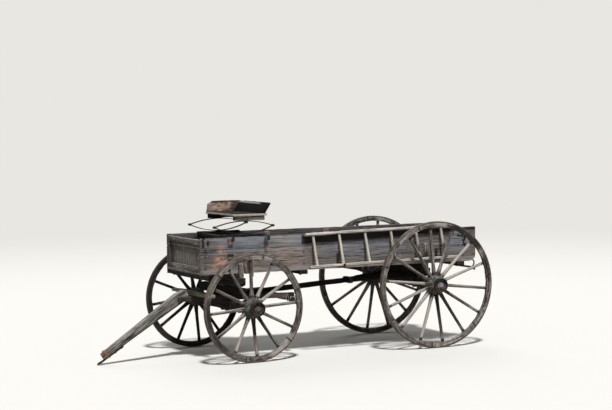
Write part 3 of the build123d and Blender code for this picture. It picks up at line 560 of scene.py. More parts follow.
def box_paint(tree, colour, place, fibre, blotch):
    """Blue-grey paint worn off the boards, more so low down, with the primer showing near the front.

    Painted shade too: black inner faces and top edges, and the shadow of the ladder's upper rail.
    """
    look = bpy.context.scene.wagon_colours
    spot = place_in_object(tree)
    left = mask_of(tree, spot[1], -0.1, 0.1)
    front, top, foot = SIDE_HIGH.x, SIDE_HIGH.z, SIDE_LOW.z
    patches = stretched(tree, place, 240, 60, Detail=5.0, Roughness=0.65)
    low = mask_of(tree, spot[2], foot + 0.05, foot + 0.27, 0.0, 1.0)
    bare = mask_of(tree, plus(tree, patches, times(tree, low, 0.1)), 0.48, 0.66, 0.85)
    bare = times(tree, bare, mask_of(tree, fibre, 0.36, 0.56, 0.95, 0.35))
    colour = mixed(tree, bare, colour, tuple(look.box_bare))
    # The best of the blue paint, high up behind the upper loops, and chalk-pale paint behind it
    for x, down, wide, high, much, tint in (
        (0.50, 0.06, 0.78, 0.24, 0.8, look.box_blue), (0.98, 0.08, 0.50, 0.26, 0.65, look.box_light),
        (1.10, 0.09, 0.16, 0.22, 0.7, look.box_blue), (1.90, 0.16, 1.50, 0.30, 0.45, look.box_blue),
        (3.05, 0.14, 0.50, 0.40, 0.6, look.box_blue),
    ):
        patch = times(tree, patch_at(tree, spot, front - x, top - down, wide, high), left)
        patch = times(tree, patch, mask_of(tree, fibre, 0.34, 0.56, much, 0.25 * much))
        colour = mixed(tree, patch, colour, tuple(tint))
    # Dark ends and the rub under the seat's rear clip
    lines = stretched(tree, place, 200, 9, Detail=3.5)
    grime = times(tree, mask_of(tree, spot[0], front - 0.16, front - 0.02, 0.55), mask_of(
        tree, lines, 0.44, 0.56, 0.1, 1.0))
    rub = times(tree, patch_at(tree, spot, front - 0.735, top - 0.09, 0.07, 0.26), 0.8)
    colour = mixed(tree, maths(tree, "MAXIMUM", grime, rub), colour, tuple(look.box_dark))
    # Tan streaks of bare wood behind the front wheel
    streaks = times(tree, patch_at(tree, spot, front - 0.96, top - 0.22, 0.70, 0.30), left)
    streaks = times(tree, streaks, mask_of(tree, lines, 0.46, 0.60, 0.8))
    colour = mixed(tree, streaks, colour, tuple(look.box_streak))
    # Bleached lower edge
    washed = times(tree, mask_of(tree, spot[2], foot + 0.02, foot + 0.08, 0.0, 0.85), mask_of(
        tree, lines, 0.38, 0.52))
    colour = mixed(tree, washed, colour, tuple(look.box_light))
    # Orange-red primer in soft patches near the front of the left side
    primer = patch_at(tree, spot, front - 0.225, top - 0.245, 0.20, 0.13)
    for x, z, wide, high, much in (
        (0.235, 0.125, 0.13, 0.12, 0.55), (0.15, 0.30, 0.17, 0.09, 0.5), (0.26, 0.33, 0.12, 0.07, 0.4),
        (0.19, 0.19, 0.10, 0.06, 0.5), (0.755, 0.13, 0.06, 0.05, 0.6), (0.60, 0.275, 0.12, 0.04, 0.5),
        (0.60, 0.34, 0.18, 0.05, 0.4),
    ):
        more = times(tree, patch_at(tree, spot, front - x, top - z, wide, high), much)
        primer = maths(tree, "MAXIMUM", primer, more)
    flecks = stretched(tree, place, 50, 22, Detail=4.0, Roughness=0.7)
    primer = times(tree, times(tree, primer, left), mask_of(tree, flecks, 0.42, 0.56, 0.9))
    colour = mixed(tree, primer, colour, tuple(look.box_primer))
    # Painted shadow of the ladder's upper rail: a black band below it, narrower to the rear, where the rail
    # climbs
    climb = 0.033
    rail_low, rail_high = max(boxes_of("ladder_rails"), key=lambda box: box[1].z)
    along = minus(tree, rail_high.x, spot[0])
    level = minus(tree, spot[2], times(tree, along, climb))
    level = ragged_by(tree, level, patches, 0.03)
    rail_shadow = times(tree, mask_of(tree, level, rail_low.z - 0.084, rail_low.z - 0.068, 0.94),
                 mask_of(tree, level, rail_low.z + 0.01, rail_low.z + 0.03, 0.0, 1.0))
    rail_shadow = times(tree, rail_shadow, mask_of(tree, along, -0.03, -0.015))
    colour = mixed(tree, times(tree, rail_shadow, left), colour, tuple(look.box_inside))
    # Inner faces and top edges painted black: painted shade
    away = maths(tree, "ABSOLUTE", spot[1])
    inner = mask_of(tree, away, SIDE_HIGH.y - 0.014, SIDE_HIGH.y - 0.006, 0.0, 0.95)
    upper = mask_of(tree, spot[2], top - 0.014, top - 0.004, 0.8)
    painted_shade = times(tree, maths(tree, "MAXIMUM", inner, upper), mask_of(tree, fibre, 0.5, 0.72, 1.0, 0.45))
    return mixed(tree, painted_shade, colour, tuple(look.box_inside))


def gate_stains_and_shadows(tree, colour, place, fibre, blotch):
    """Marks on the front gate: a blackened far stile, painted shade in the far corner, the top batten's
    painted shadow in brown lines under it, a greyer panel.
    """
    look = bpy.context.scene.wagon_colours
    spot = place_in_object(tree)
    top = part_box("front_gate")[1].z
    # Across and down the gate: where each mark is, how far it reaches, how strong it is, and its colour
    for y, down, wide, deep, much, tint in (
        (0.06, 0.21, 1.00, 0.30, 0.28, look.gate_light), (-0.425, 0.19, 0.26, 1.40, 0.75, look.gate_dark),
        # A near-black line of painted shade in the far corner, then the painted shadow under the top batten
        (-0.345, 0.19, 0.05, 1.20, 0.60, look.iron_dark), (0.02, 0.067, 2.20, 0.028, 0.85, look.seat_dark),
        (0.02, 0.083, 2.20, 0.018, 0.55, look.gate_light), (0.02, 0.108, 2.20, 0.042, 0.60, look.gate_dark),
    ):
        mark = patch_at(tree, (spot[1], spot[0], spot[2]), y, top - down, wide, deep)
        mark = times(tree, mark, mask_of(tree, fibre, 0.3, 0.6, much, 0.5 * much))
        colour = mixed(tree, mark, colour, tuple(tint))
    return colour


def panel_wear(tree, colour, place, fibre, blotch):
    """Wear on the seat's end panel: grey in front, black at its top and rear, pale low in its middle."""
    look = bpy.context.scene.wagon_colours
    spot = place_in_object(tree)
    low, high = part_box("seat_end_panel")
    ragged = times(tree, minus(tree, stretched(tree, place, 60, 26, Detail=4.0), 0.5), 0.09)
    level = plus(tree, spot[2], ragged)
    length = plus(tree, spot[0], ragged)
    for x, z, wide, high_m, much, tint in (
        (0.10, 0.045, 0.22, 0.070, 0.6, look.seat_light), (0.21, 0.060, 0.12, 0.050, 0.35, look.seat_light),
        (0.03, 0.075, 0.09, 0.110, 0.5, look.back_light), (0.20, 0.130, 0.62, 0.080, 0.9, look.seat_dark),
        (0.345, 0.070, 0.17, 0.170, 0.9, look.seat_dark), (0.17, 0.018, 0.50, 0.030, 0.8, look.seat_dark),
    ):
        patch = patch_at(tree, (length, spot[1], level), high.x - x, low.z + z, wide, high_m)
        colour = mixed(tree, times(tree, patch, much), colour, tuple(tint))
    return colour


def back_top_highlight(tree, colour, place, fibre, blotch):
    """Pale bare wood along the top of the seat's back, over its far two thirds: painted highlight."""
    look = bpy.context.scene.wagon_colours
    spot = place_in_object(tree)
    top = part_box("seat_back")[1].z
    level = ragged_by(tree, spot[2], blotch, 0.03)
    upper = mask_of(tree, level, top - 0.030, top - 0.022, 0.8)
    bare = times(tree, upper, mask_of(tree, spot[1], 0.10, 0.24, 0.0, 1.0))
    bare = times(tree, bare, mask_of(tree, spot[2], top - 0.012, top - 0.006, 0.2, 1.0))
    return mixed(tree, bare, colour, tuple(look.gate_light))


def wagon_materials():
    """Every wood and iron of the wagon, made once and then found by name."""
    look = bpy.context.scene.wagon_colours
    if "poplar_sawn_painted_weathered" in bpy.data.materials:
        return

    def colours(*names):
        return [tuple(getattr(look, name)) for name in names]

    def wood(name, dark, middle, light, edge=None, **settings):
        edge = colours(edge)[0] if edge else None
        weathered_wood(name, *colours(dark, middle, light), edge=edge, **settings)

    def iron(name, dark, rust, orange, share, metallic=0.35):
        rusted_iron(name, *colours(dark, rust, orange), share, metallic)

    # Sawn poplar, painted long ago: chalky blue-grey over brown wood, dull all over
    wood("poplar_sawn_painted_weathered", "box_dark", "box_paint", "box_light", fibre_mm=9,
         edge="box_paint", edge_mm=6, paint=box_paint, contrast=1.2)
    # Sawn poplar never painted: dark neutral grey with raised pale fibres
    wood("poplar_sawn_weathered", "gate_dark", "gate_mid", "gate_light", fibre_mm=13, edge="gate_mid",
         edge_mm=8, sun=0.4, dirt=0.3, contrast=1.5)
    # The same boards in the front gate, with stains and painted shadows that follow its battens
    wood("poplar_sawn_stained", "gate_dark", "gate_mid", "gate_light", fibre_mm=13, edge="gate_mid",
         edge_mm=5, sun=0.4, dirt=0.3, contrast=1.2, paint=gate_stains_and_shadows)
    # The same boards laid flat, walked on and washed: paler
    wood("poplar_sawn_trodden", "gate_dark", "gate_mid", "gate_light", fibre_mm=10, edge_mm=9, sun=0.2)
    # Hewn oak under the box, almost black with old grease, grime and painted shade, paler only on its edges
    wood("oak_hewn_grimed", "gear_dark", "gear_mid", "gear_light", fibre_mm=10, edge_mm=5, gloss=0.06)
    # Hewn oak that stands in the sun beside the box: grey, with open splits
    wood("oak_hewn_grey", "wheel_dark", "gate_mid", "wheel_light", fibre_mm=8, check=1.3, edge_mm=6,
         sun=0.5)
    # Shaved hickory spokes and sawn ash felloes: bleached grey-brown, with deep checks
    wood("hickory_shaved_weathered", "wheel_dark", "wheel_mid", "wheel_light", fibre_mm=8, edge_mm=4,
         sun=0.55, contrast=1.3)
    wood("ash_sawn_weathered", "wheel_dark", "wheel_mid", "wheel_light", fibre_mm=9, check=1.2,
         edge="wheel_mid", edge_mm=7, dirt=0.35, contrast=1.5)
    # The same woods darkened nearly black on the far front wheel: painted shade, the box's shadow over it
    wood("hickory_shaved_damp", "gear_dark", "gear_mid", "gear_light", fibre_mm=8, edge_mm=4, gloss=0.1)
    wood("ash_sawn_damp", "gear_dark", "gear_mid", "gear_light", fibre_mm=9, edge_mm=6, gloss=0.1)
    # Turned elm hub: darker and dirtier than the spokes, with checks along it
    wood("elm_turned_weathered", "seat_dark", "hub_mid", "wheel_light", fibre_mm=8, check=1.3, edge_mm=3)
    # Hewn oak tongue, silver-grey in the open, split along its length
    wood("oak_hewn_silvered", "tongue_dark", "tongue_mid", "tongue_light", fibre_mm=11, check=1.3,
         edge_mm=6, sun=0.35, contrast=1.3)
    # Sawn pine ladder rails and turned ash rungs, bleached nearly white where the sun and feet reach; the
    # rails' tops are also painted lighter
    wood("pine_sawn_bleached", "ladder_dark", "ladder_mid", "ladder_light", fibre_mm=8, edge_mm=9, sun=0.5)
    wood("ash_turned_bleached", "ladder_dark", "rung", "ladder_light", fibre_mm=6, check=0.6, edge_mm=2)
    # Sawn oak of the seat: brown end panel, near-black back, and boards with bleached edges
    wood("oak_sawn_brown", "seat_dark", "seat_mid", "seat_light", fibre_mm=10, edge="seat_dark", edge_mm=10,
         dirt=0.35, contrast=1.3)
    wood("oak_sawn_brown_worn", "seat_dark", "seat_mid", "seat_light", fibre_mm=10, edge="seat_dark",
         edge_mm=10, dirt=0.35, contrast=1.5, paint=panel_wear)
    wood("oak_sawn_black_stained", "gear_dark", "back_mid", "gear_dark", fibre_mm=8, check=0.8,
         edge="back_mid", edge_mm=8, gloss=0.05, paint=back_top_highlight)
    wood("oak_sawn_edge_worn", "seat_dark", "gear_dark", "gear_light", fibre_mm=8, edge="board_edge",
         edge_mm=11, gloss=0.06)
    wood("oak_sawn_edge_bleached", "gear_mid", "gate_light", "board_edge", fibre_mm=8, edge="board_edge",
         edge_mm=14, contrast=1.2)
    # The same oak in the bearers under the seat board, their edges darkened: painted shade under the board
    wood("oak_sawn_bleached", "gear_mid", "gate_light", "board_edge", fibre_mm=8, edge="gear_dark",
         edge_mm=17, contrast=1.3)
    # Wrought iron straps, tyres and bolts with brown-black rust, and the same where rain leaves it orange
    iron("wrought_iron_forged_rusted", "iron_dark", "iron_rust", "iron_orange", 0.55)
    iron("wrought_iron_rolled_tyre", "iron_rust", "tyre_dust", "iron_orange", 0.5, 0.1)
    iron("wrought_iron_orange_rust", "iron_rust", "iron_orange", "iron_orange", 0.5, 0.1)
    # Wrought iron worn bright-grey where links and nuts rub
    iron("wrought_iron_worn", "iron_dark", "steel_worn", "iron_rust", 0.5, 0.4)
    # Sand-cast iron axle arms and nuts: greyer and smoother than the forged irons
    iron("cast_iron_sand_cast", "iron_rust", "steel_worn", "iron_rust", 0.42, 0.3)
    # The same iron browner, on the front arms
    iron("cast_iron_rusted", "iron_dark", "tyre_dust", "iron_rust", 0.45, 0.2)
    # Rolled spring steel, nearly black
    iron("spring_steel_rolled", "iron_dark", "iron_dark", "iron_rust", 0.6, 0.5)
    # Red oil paint left on the upper loops, with rust round it
    iron("wrought_iron_red_paint", "iron_rust", "red_paint", "iron_rust", 0.42, 0.0)


def material(name):
    wagon_materials()
    return bpy.data.materials[name]


# Wheels
def wheel_frame(wheel):
    """Where a wheel's own (forwards, outwards, up) points lie, and its radius."""
    low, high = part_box(f"{wheel}_felloes")
    centre = (low + high) / 2
    low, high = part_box(f"{wheel}_irons")
    radius = (high.z - low.z) / 2
    side = 1 if wheel.endswith("left") else -1
    angle = PARKED_STEER if wheel.startswith("front") else 0.0
    c, s = math.cos(angle), math.sin(angle)

    def place(x, out, z):
        y = side * out
        return Vector((centre.x + x * c - y * s, centre.y + x * s + y * c, centre.z + z))

    return place, radius


# Places on the rims that are bleached or broken: the middle and half the length of each in degrees from the
# front towards the ground, how deep the break goes in millimetres, and how bleached it is, less than 0 for
# blackened
WORN = {
    "front_left": ((128, 26, 0, 0.65), (-40, 24, 0, 0.55), (-100, 18, 0, 0.7), (20, 36, 0, -0.9)),
    "front_right": ((200, 30, 0, 0.4),),
    "rear_left": ((-94, 7.5, 2, 1.0), (-50, 6, 12, 0.9), (-62, 16, 0, 0.6), (-20, 14, 0, 0.5),
                  (0, 9, 0, 0.15), (120, 25, 0, 0.4), (180, 26, 0, -0.15), (-124, 22, 0, -1.0)),
    "rear_right": ((-105, 12, 3, 0.5),),
}
# How bleached each near spoke is at its foot and at its tip; less than 0 is blackened, and the black
# feet of the spokes below and behind each hub are a painted shadow of the hub
SPOKE_PALE_AND_HUB_SHADOW = {
    "front_left": {0: (0.3, 0.5), 1: (0.4, 0.3), 2: (0.3, 1.0), 3: (-0.8, 1.0), 4: (-0.6, 0.2),
                   5: (0.4, 0.3), 6: (0.3, 0.5), 7: (1.0, 0.4), 8: (1.0, 0.2), 9: (0.5, -0.6),
                   10: (0.0, 0.3), 11: (0.3, 0.3)},
    "rear_left": {0: (0.6, 0.6), 1: (0.7, 0.8), 2: (0.6, 1.0), 3: (-1.6, 0.8), 4: (-1.6, 0.4),
                  5: (-0.6, 0.4), 6: (0.3, 0.5), 7: (0.9, 0.6), 8: (1.0, 0.9), 9: (0.5, 0.3),
                  10: (0.3, 0.2), 11: (0.2, 0.3), 12: (0.2, 0.4), 13: (0.8, 0.8)},
}
TYRE_THICK, FELLOE_DEEP, FELLOE_WIDE, TYRE_WIDE = 12 * MM, 48 * MM, 42 * MM, 45 * MM
BARREL, FOOT_PLANE, DISH = 104 * MM, -35 * MM, 31 * MM


def spoke_shape(place, radius, angle, seed, pale_and_hub_shadow):
    """A shaved spoke: square at the hub, oval along its length, leaning outwards by the dish."""
    rng = random.Random(seed)
    foot_pale, tip_pale = pale_and_hub_shadow or (rng.uniform(0.0, 0.7), rng.uniform(0.0, 0.7))
    foot, tip = BARREL - 2 * MM, radius - TYRE_THICK - FELLOE_DEEP + 1 * MM
    sway = rng.uniform(-2, 2) * MM
    thin = rng.uniform(0.94, 1.02)
    # Share of the spoke's length from the hub, its width and depth there in millimetres, and how square it is
    rows = [(0, 35, 53, 7), (0.04, 35, 53, 7), (0.09, 34.6, 49, 5), (0.15, 34, 44, 3.4),
            (0.22, 33.5, 42, 2.8), (0.35, 33, 41, 2.4), (0.5, 32.5, 39.5, 2.3), (0.65, 32, 38, 2.3),
            (0.8, 32, 36.5, 2.4), (0.92, 32, 35.5, 2.6), (0.97, 31.5, 35, 3), (1, 31, 35, 3.2)]
    rings, grain, pale = [], [], []
    lot = lot_of(seed + 11)
    for share, wide, deep, power in rows:
        out = foot + (tip - foot) * share
        lean = FOOT_PLANE + DISH * share
        ring = []
        for k in range(16):
            t = 2 * math.pi * (k + 0.5) / 16
            c, s = math.cos(t), math.sin(t)
            a = math.copysign(abs(c) ** (2 / power), c) * wide * thin * MM / 2
            b = math.copysign(abs(s) ** (2 / power), s) * deep * MM / 2
            wear = 1.1 * MM * noise.noise(Vector((out * 14, a * 60, b * 60)) + lot)
            a += wear + sway * math.sin(math.pi * share)
            b += wear
            grain.append(Vector((out - (foot + tip) / 2, a, b)))
            tone = foot_pale + (tip_pale - foot_pale) * share
            pale.append(-1.0 if share > 0.95 else min(tone, -0.3) if share < 0.05 else tone)
            x = out * math.cos(angle) + a * math.sin(angle)
            z = -out * math.sin(angle) + a * math.cos(angle)
            ring.append(place(x, lean + b, z))
        rings.append(ring)
    points, faces = rings_shape(rings)
    return points, faces, grain, Vector(((tip - foot) / 2, 17.5 * MM, 26.5 * MM)), lot, pale


def felloe_shape(place, radius, start, end, spokes_at, seed, joint, rounding, worn):
    """One felloe from a start to an end angle, rounded inside between its spokes and square at them."""
    lot = lot_of(seed)
    base = random.Random(seed).uniform(0.0, 0.45)
    outer = radius - TYRE_THICK
    inner = outer - FELLOE_DEEP
    shares = [0.0, 0.012] + [k / 34 for k in range(1, 34)] + [0.988, 1.0]
    rings, grain, pale = [], [], []
    gap = joint / 2 / outer
    for share in shares:
        angle = start + gap + (end - start - 2 * gap) * share
        along = (angle - (start + end) / 2) * outer
        near = min(abs(angle - a) for a in spokes_at + [start, end]) * inner
        soft = 3 * MM + (rounding - 3 * MM) * min(1.0, max(0.0, (near - 22 * MM) / (35 * MM)))
        wear = 1.5 * MM * max(0.0, noise.noise(Vector((along * 7, 0, 0)) + lot))
        bite = 2.5 * MM * max(0.0, noise.noise(Vector((along * 26, 3, 0)) + lot) - 0.2)
        w = FELLOE_WIDE / 2 - wear * 0.6
        light = base
        for middle, half_long, depth, bleach in worn:
            away = abs((math.degrees(angle) - middle + 180) % 360 - 180) / half_long
            if away < 1:
                fade = bleach * min(1.0, 2.5 * (1 - away))
                light = max(light, fade) if bleach > 0 else min(light, fade)
                rough = 0.5 + 0.9 * abs(noise.noise(Vector((along * 60, 7, 0)) + lot))
                bite += depth * MM * (1 - away) * rough
                w -= 0.25 * depth * MM * (1 - away) * rough
        if share in (0.0, 1.0):
            light = -1.2
        low = inner + bite
        profile = [(outer, -w), (outer, w), (low + soft, w)]
        profile += [(low + soft * 0.29, w - soft * 0.29), (low, w - soft), (low, 0)]
        profile += [(low, soft - w), (low + soft * 0.29, soft * 0.29 - w), (low + soft, -w)]
        ring = []
        for r, out in profile:
            ring.append(place(r * math.cos(angle), out, -r * math.sin(angle)))
            grain.append(Vector((along, r - (outer + inner) / 2, out)))
            pale.append(light)
        rings.append(ring)
    points, faces = rings_shape(rings)
    half = Vector(((end - start) * outer / 2, FELLOE_DEEP / 2, FELLOE_WIDE / 2))
    return points, faces, grain, half, lot, pale


def turned_shape(place, profile, steps=64, seed=None, depth=0.0):
    """A shape turned about the axle from (radius, outwards) points, cracked where a depth is given."""
    lot = lot_of(seed or 1)
    rings, grain = [], []
    for k in range(steps):
        angle = 2 * math.pi * k / steps
        ring = []
        for radius, out in profile:
            r = radius
            if depth:
                line = noise.noise(Vector((math.cos(angle) * 5.5, math.sin(angle) * 5.5, out * 4)) + lot)
                r -= depth * max(0.0, 1 - abs(line) * 7)
            ring.append(place(r * math.cos(angle), out, -r * math.sin(angle)))
            grain.append(Vector((out + 0.03, r * math.cos(angle), r * math.sin(angle))))
        rings.append(ring)
    points, faces = rings_shape(rings, closed=True)
    return points, faces, grain, Vector((0.2, 0.2, 0.2)), lot, [0.15] * len(points)


def hub_profile():
    """The swelled hub from its inner end over the barrel to the nose and back through the bore."""
    mm = [(44, -155), (78, -155), (81, -153), (81.6, -128), (84, -126), (90, -115), (97, -103), (102, -92),
          (103.6, -86), (101.8, -82), (103.8, -78), (104, -60), (104, -10), (103.8, 6), (101.8, 10),
          (103.4, 14), (101.5, 22), (96, 32), (87, 43), (78, 52), (71, 59), (68.8, 61), (68.5, 93),
          (66, 95), (51, 95), (50, 93), (50, 68), (33, 68)]
    return [(r * MM, y * MM) for r, y in mm]


def band_profile(radius, thick, start, end):
    """A hoop's section with its edges worn round."""
    e = 1.2
    mm = [(radius, start), (radius + thick - e, start), (radius + thick, start + e),
          (radius + thick, end - e), (radius + thick - e, end), (radius, end)]
    return [(r * MM, y * MM) for r, y in mm]


def build_wheel(wheel, sizes):
    place, radius = wheel_frame(wheel)
    body = f"{wheel}_wheel"
    count = SPOKES[wheel.split("_")[0]]
    phase = math.radians(SPOKE_PHASE[wheel])
    pitch = 2 * math.pi / count
    seed = 100 * (WHEELS.index(wheel) + 1) + sizes.seed
    # The far front wheel takes near-black woods and dark iron on its tyre: painted shade
    painted_shade = wheel == "front_right"
    hickory = material("hickory_shaved_damp" if painted_shade else "hickory_shaved_weathered")
    ash = material("ash_sawn_damp" if painted_shade else "ash_sawn_weathered")
    pale_and_hub_shadow = SPOKE_PALE_AND_HUB_SHADOW.get(wheel, {})
    spokes = [spoke_shape(place, radius, phase + k * pitch, seed + k, pale_and_hub_shadow.get(k)) for k in range(count)]
    make_piece(f"{wheel}_spokes_shaved", spokes, hickory, body, (f"{wheel}_spokes",), "wheel_wood", smooth=50)
    felloes = []
    for k in range(count // 2):
        start = phase + (2 * k + 0.5) * pitch
        at = [start + 0.5 * pitch, start + 1.5 * pitch]
        felloes.append(felloe_shape(
            place, radius, start, start + 2 * pitch, at, seed + 40 + k, sizes.felloe_joint,
            sizes.felloe_round, WORN[wheel]
        ))
    make_piece(f"{wheel}_felloes_sawn", felloes, ash, body, (f"{wheel}_felloes",), "wheel_wood", smooth=30)
    hub = turned_shape(place, hub_profile(), 72, seed + 60, sizes.hub_check)
    make_piece(f"{wheel}_hub_turned", [hub], material("elm_turned_weathered"), body,
               (f"{wheel}_hub",), "wheel_wood", smooth=40)
    w = TYRE_WIDE / 2
    tyre = [(radius - TYRE_THICK, -w), (radius - 3 * MM, -w), (radius - 0.8 * MM, -w + 1.5 * MM),
            (radius, -w + 5 * MM), (radius, w - 5 * MM), (radius - 0.8 * MM, w - 1.5 * MM),
            (radius - 3 * MM, w), (radius - TYRE_THICK, w)]
    irons = [
        turned_shape(place, tyre, 96),
        turned_shape(place, band_profile(82, 4.5, -155, -128), 48),
        turned_shape(place, band_profile(69, 4.5, 60, 118), 56),
    ]
    centre = place(0, 0, 0)
    axis = (place(0, 1, 0) - centre).normalized()

    def iron_finish(face):
        away = face.center - centre
        out = away.dot(axis)
        wide = (away - axis * out).length
        if wide > 0.3 and not painted_shade:
            return 1
        orange = out > 0.09 and (wide < 70.5 * MM or out > 0.116) and away.z < 0.0
        return 2 if orange and wheel.startswith("rear") else 0

    finishes = [material(f"wrought_iron_{look}") for look in ("forged_rusted", "rolled_tyre", "orange_rust")]
    make_piece(f"{wheel}_irons_forged", irons, finishes, body, (f"{wheel}_irons",), "iron", pick=iron_finish,
               smooth=40)


# Irons
def across_of(normal):
    """Two directions at right angles to a normal."""
    normal = Vector(normal).normalized()
    level = Vector((0, 0, 1)) if abs(normal.z) < 0.9 else Vector((1, 0, 0))
    u = level.cross(normal).normalized()
    return u, normal.cross(u)


def stacked(point, normal, rows, sides):
    """A shape of rings about a normal, from rows of radius and height over the point."""
    point, normal = Vector(point), Vector(normal).normalized()
    u, v = across_of(normal)
    rings = []
    for radius, height in rows:
        ring = []
        for k in range(sides):
            a = 2 * math.pi * (k + 0.5) / sides
            ring.append(point + normal * height + (u * math.cos(a) + v * math.sin(a)) * radius)
        rings.append(ring)
    return rings_shape(rings)


def bolt_head(point, normal, radius, height=None):
    """A carriage bolt's round head."""
    height = height or radius * 0.5
    rows = [(radius, -0.2 * height), (radius, 0.3 * height), (0.8 * radius, 0.75 * height),
            (0.4 * radius, height)]
    return [stacked(point, normal, rows, 12)]


def square_nut(point, normal, side):
    """A square nut with the end of its bolt."""
    half = side * 0.7071
    body = stacked(point, normal, [(half, -0.5 * MM), (half, side * 0.35), (half * 0.86, side * 0.45)], 4)
    end = stacked(point, normal, [(side * 0.26, 0), (side * 0.26, side * 0.68), (side * 0.2, side * 0.74)], 8)
    return [body, end]


def round_iron(path, radius, side, closed=False, sides=8):
    """Round iron bent along a flat path, with side the direction square to the path's plane."""
    rings = []
    for k, point in enumerate(path):
        before = path[k - 1] if closed or k else point
        after = path[(k + 1) % len(path)] if closed or k < len(path) - 1 else point
        along = (after - before).normalized()
        v = along.cross(side).normalized()
        ring = []
        for j in range(sides):
            a = 2 * math.pi * j / sides
            ring.append(point + (side * math.cos(a) + v * math.sin(a)) * radius)
        rings.append(ring)
    return rings_shape(rings, closed=closed, capped=not closed)


def arc_points(centre, u, v, radius, start, end, steps):
    """Points of an arc from a start to an end angle in degrees."""
    turns = [math.radians(start + (end - start) * k / steps) for k in range(steps + 1)]
    return [centre + (u * math.cos(t) + v * math.sin(t)) * radius for t in turns]


def chain_link(centre, along, across, length, width, thick):
    """An oval link of a chain."""
    half = (length - width) / 2
    path = arc_points(centre + along * half, across, along, width / 2, 0, 180, 6)
    path += arc_points(centre - along * half, across, along, width / 2, 180, 360, 6)
    return round_iron(path, thick / 2, along.cross(across), closed=True)


def hanging_chain(top, count, length, thick):
    """Links that hang down from a point, each turned a quarter from the last."""
    links = []
    down = Vector((0, 0, -1))
    for k in range(count):
        across = Vector((0.9, 0.43, 0)) if k % 2 else Vector((-0.43, 0.9, 0))
        centre = top + down * (length * 0.38 + k * (length - 2 * thick))
        links.append(chain_link(centre, down, across, length, length * 0.62, thick))
    return links


def flat_bar(low, high):
    """A flat iron bar between two corners."""
    x0, y0, z0 = low
    x1, y1, z1 = high
    rings = []
    for x in (x0, x1):
        rings.append([Vector((x, y0, z0)), Vector((x, y1, z0)), Vector((x, y1, z1)), Vector((x, y0, z1))])
    return rings_shape(rings)


def on_tongue(x, y, z):
    """A point of the tongue, given along it from its pin, to the left and up."""
    c, s = math.cos(TONGUE_DROP), math.sin(TONGUE_DROP)
    return steered(TONGUE_PIN.x + x * c + z * s, y, TONGUE_PIN.z - x * s + z * c)


def tongue_top(x):
    """How high the tongue's top is over its line, at a distance from its pin."""
    (start, end), (high, low) = TONGUE_TAPER, TONGUE_TOPS
    return high + (low - high) * (x - start) / (end - start)


def boxes_of(node):
    """The corners of each solid of a CAD node."""
    corners = []
    for solid in solids_of(node):
        low = Vector([min(v.co[k] for v in solid.verts) for k in range(3)])
        high = Vector([max(v.co[k] for v in solid.verts) for k in range(3)])
        corners.append((low, high))
        solid.free()
    return corners


class WAGON_OT_wheels(Operator):
    """Shaved spokes, sawn felloes, turned hubs, tyres and hub bands"""
    bl_idname = "wagon.wheels"
    bl_label = "Wheels"

    def execute(self, context):
        for wheel in WHEELS:
            build_wheel(wheel, context.scene.wagon_sizes)
        return {"FINISHED"}


class WAGON_OT_box(Operator):
    """Side boards, floor, sills, cleats, end gates and stakes"""
    bl_idname = "wagon.box"
    bl_label = "Box"

    def execute(self, context):
        size = context.scene.wagon_sizes
        painted, plain = material("poplar_sawn_painted_weathered"), material("poplar_sawn_weathered")
        stained_shadowed = material("poplar_sawn_stained")
        trodden = material("poplar_sawn_trodden")
        board = dict(arris=size.board_arris, chip=size.board_chip, warp=size.warp, step=size.cut_every)
        for side in ("left", "right"):
            timbers(f"{side}_side", f"{side}_side_boards", painted, "box_and_reach", "box_wood",
                    width_step=0.065, **board)
        timbers("front_gate", "front_gate_boards", stained_shadowed, "box_and_reach", "box_wood",
                crossways=True, **board)
        for node, name, wood, body in (
            ("floor_boards", "floor_boards_sawn", trodden, "box_and_reach"),
            ("floor_sills", "floor_sills_sawn", material("oak_hewn_grimed"), "box_and_reach"),
            ("side_cleats", "side_cleats_sawn", trodden, "box_and_reach"),
            ("front_gate_battens", "front_gate_battens_sawn", stained_shadowed, "box_and_reach"),
            ("tail_gate", "tail_gate_boards", plain, "tail_gate"),
            ("tail_gate_battens", "tail_gate_battens_sawn", plain, "tail_gate"),
        ):
            timbers(node, name, wood, body, "box_wood", **board)
        timbers("stakes", "stakes_sawn", material("oak_hewn_grey"), "box_and_reach", "gear_wood",
                arris=size.beam_arris * 0.6, chip=size.beam_chip, step=size.cut_every)
        # Cleats on the box behind the front stakes: a short brown one and a long grey one
        for name, wood, far, near, low, high in (
            ("stake_cleats_short", "oak_sawn_brown", 0.094, 0.046, -0.006, 0.118),
            ("stake_cleats_long", "oak_hewn_grey", 0.150, 0.100, -0.040, 0.150),
        ):
            shapes = []
            for side in (1, -1):
                y0, y1 = sorted((side * (SIDE_HIGH.y - 1 * MM), side * (SIDE_HIGH.y + 20 * MM)))
                bm = bmesh.new()
                bmesh.ops.create_cube(bm, size=1.0)
                x0, x1 = KING_BOLT.x - far, KING_BOLT.x - near
                z0, z1 = SIDE_LOW.z + low, SIDE_LOW.z + high
                for vert in bm.verts:
                    slant = 12 * MM * (vert.co.z + 0.5)
                    vert.co = Vector((x0 + (x1 - x0) * (vert.co.x + 0.5) + slant * 0.4,
                                      y0 + (y1 - y0) * (vert.co.y + 0.5), z0 + (z1 - z0) * (vert.co.z + 0.5)))
                shapes.append(weather(bm, 77 + side, 3 * MM, 4 * MM, 0.0, 0.03))
            make_piece(name, shapes, material(wood), "box_and_reach", slot="box_wood")
        return {"FINISHED"}


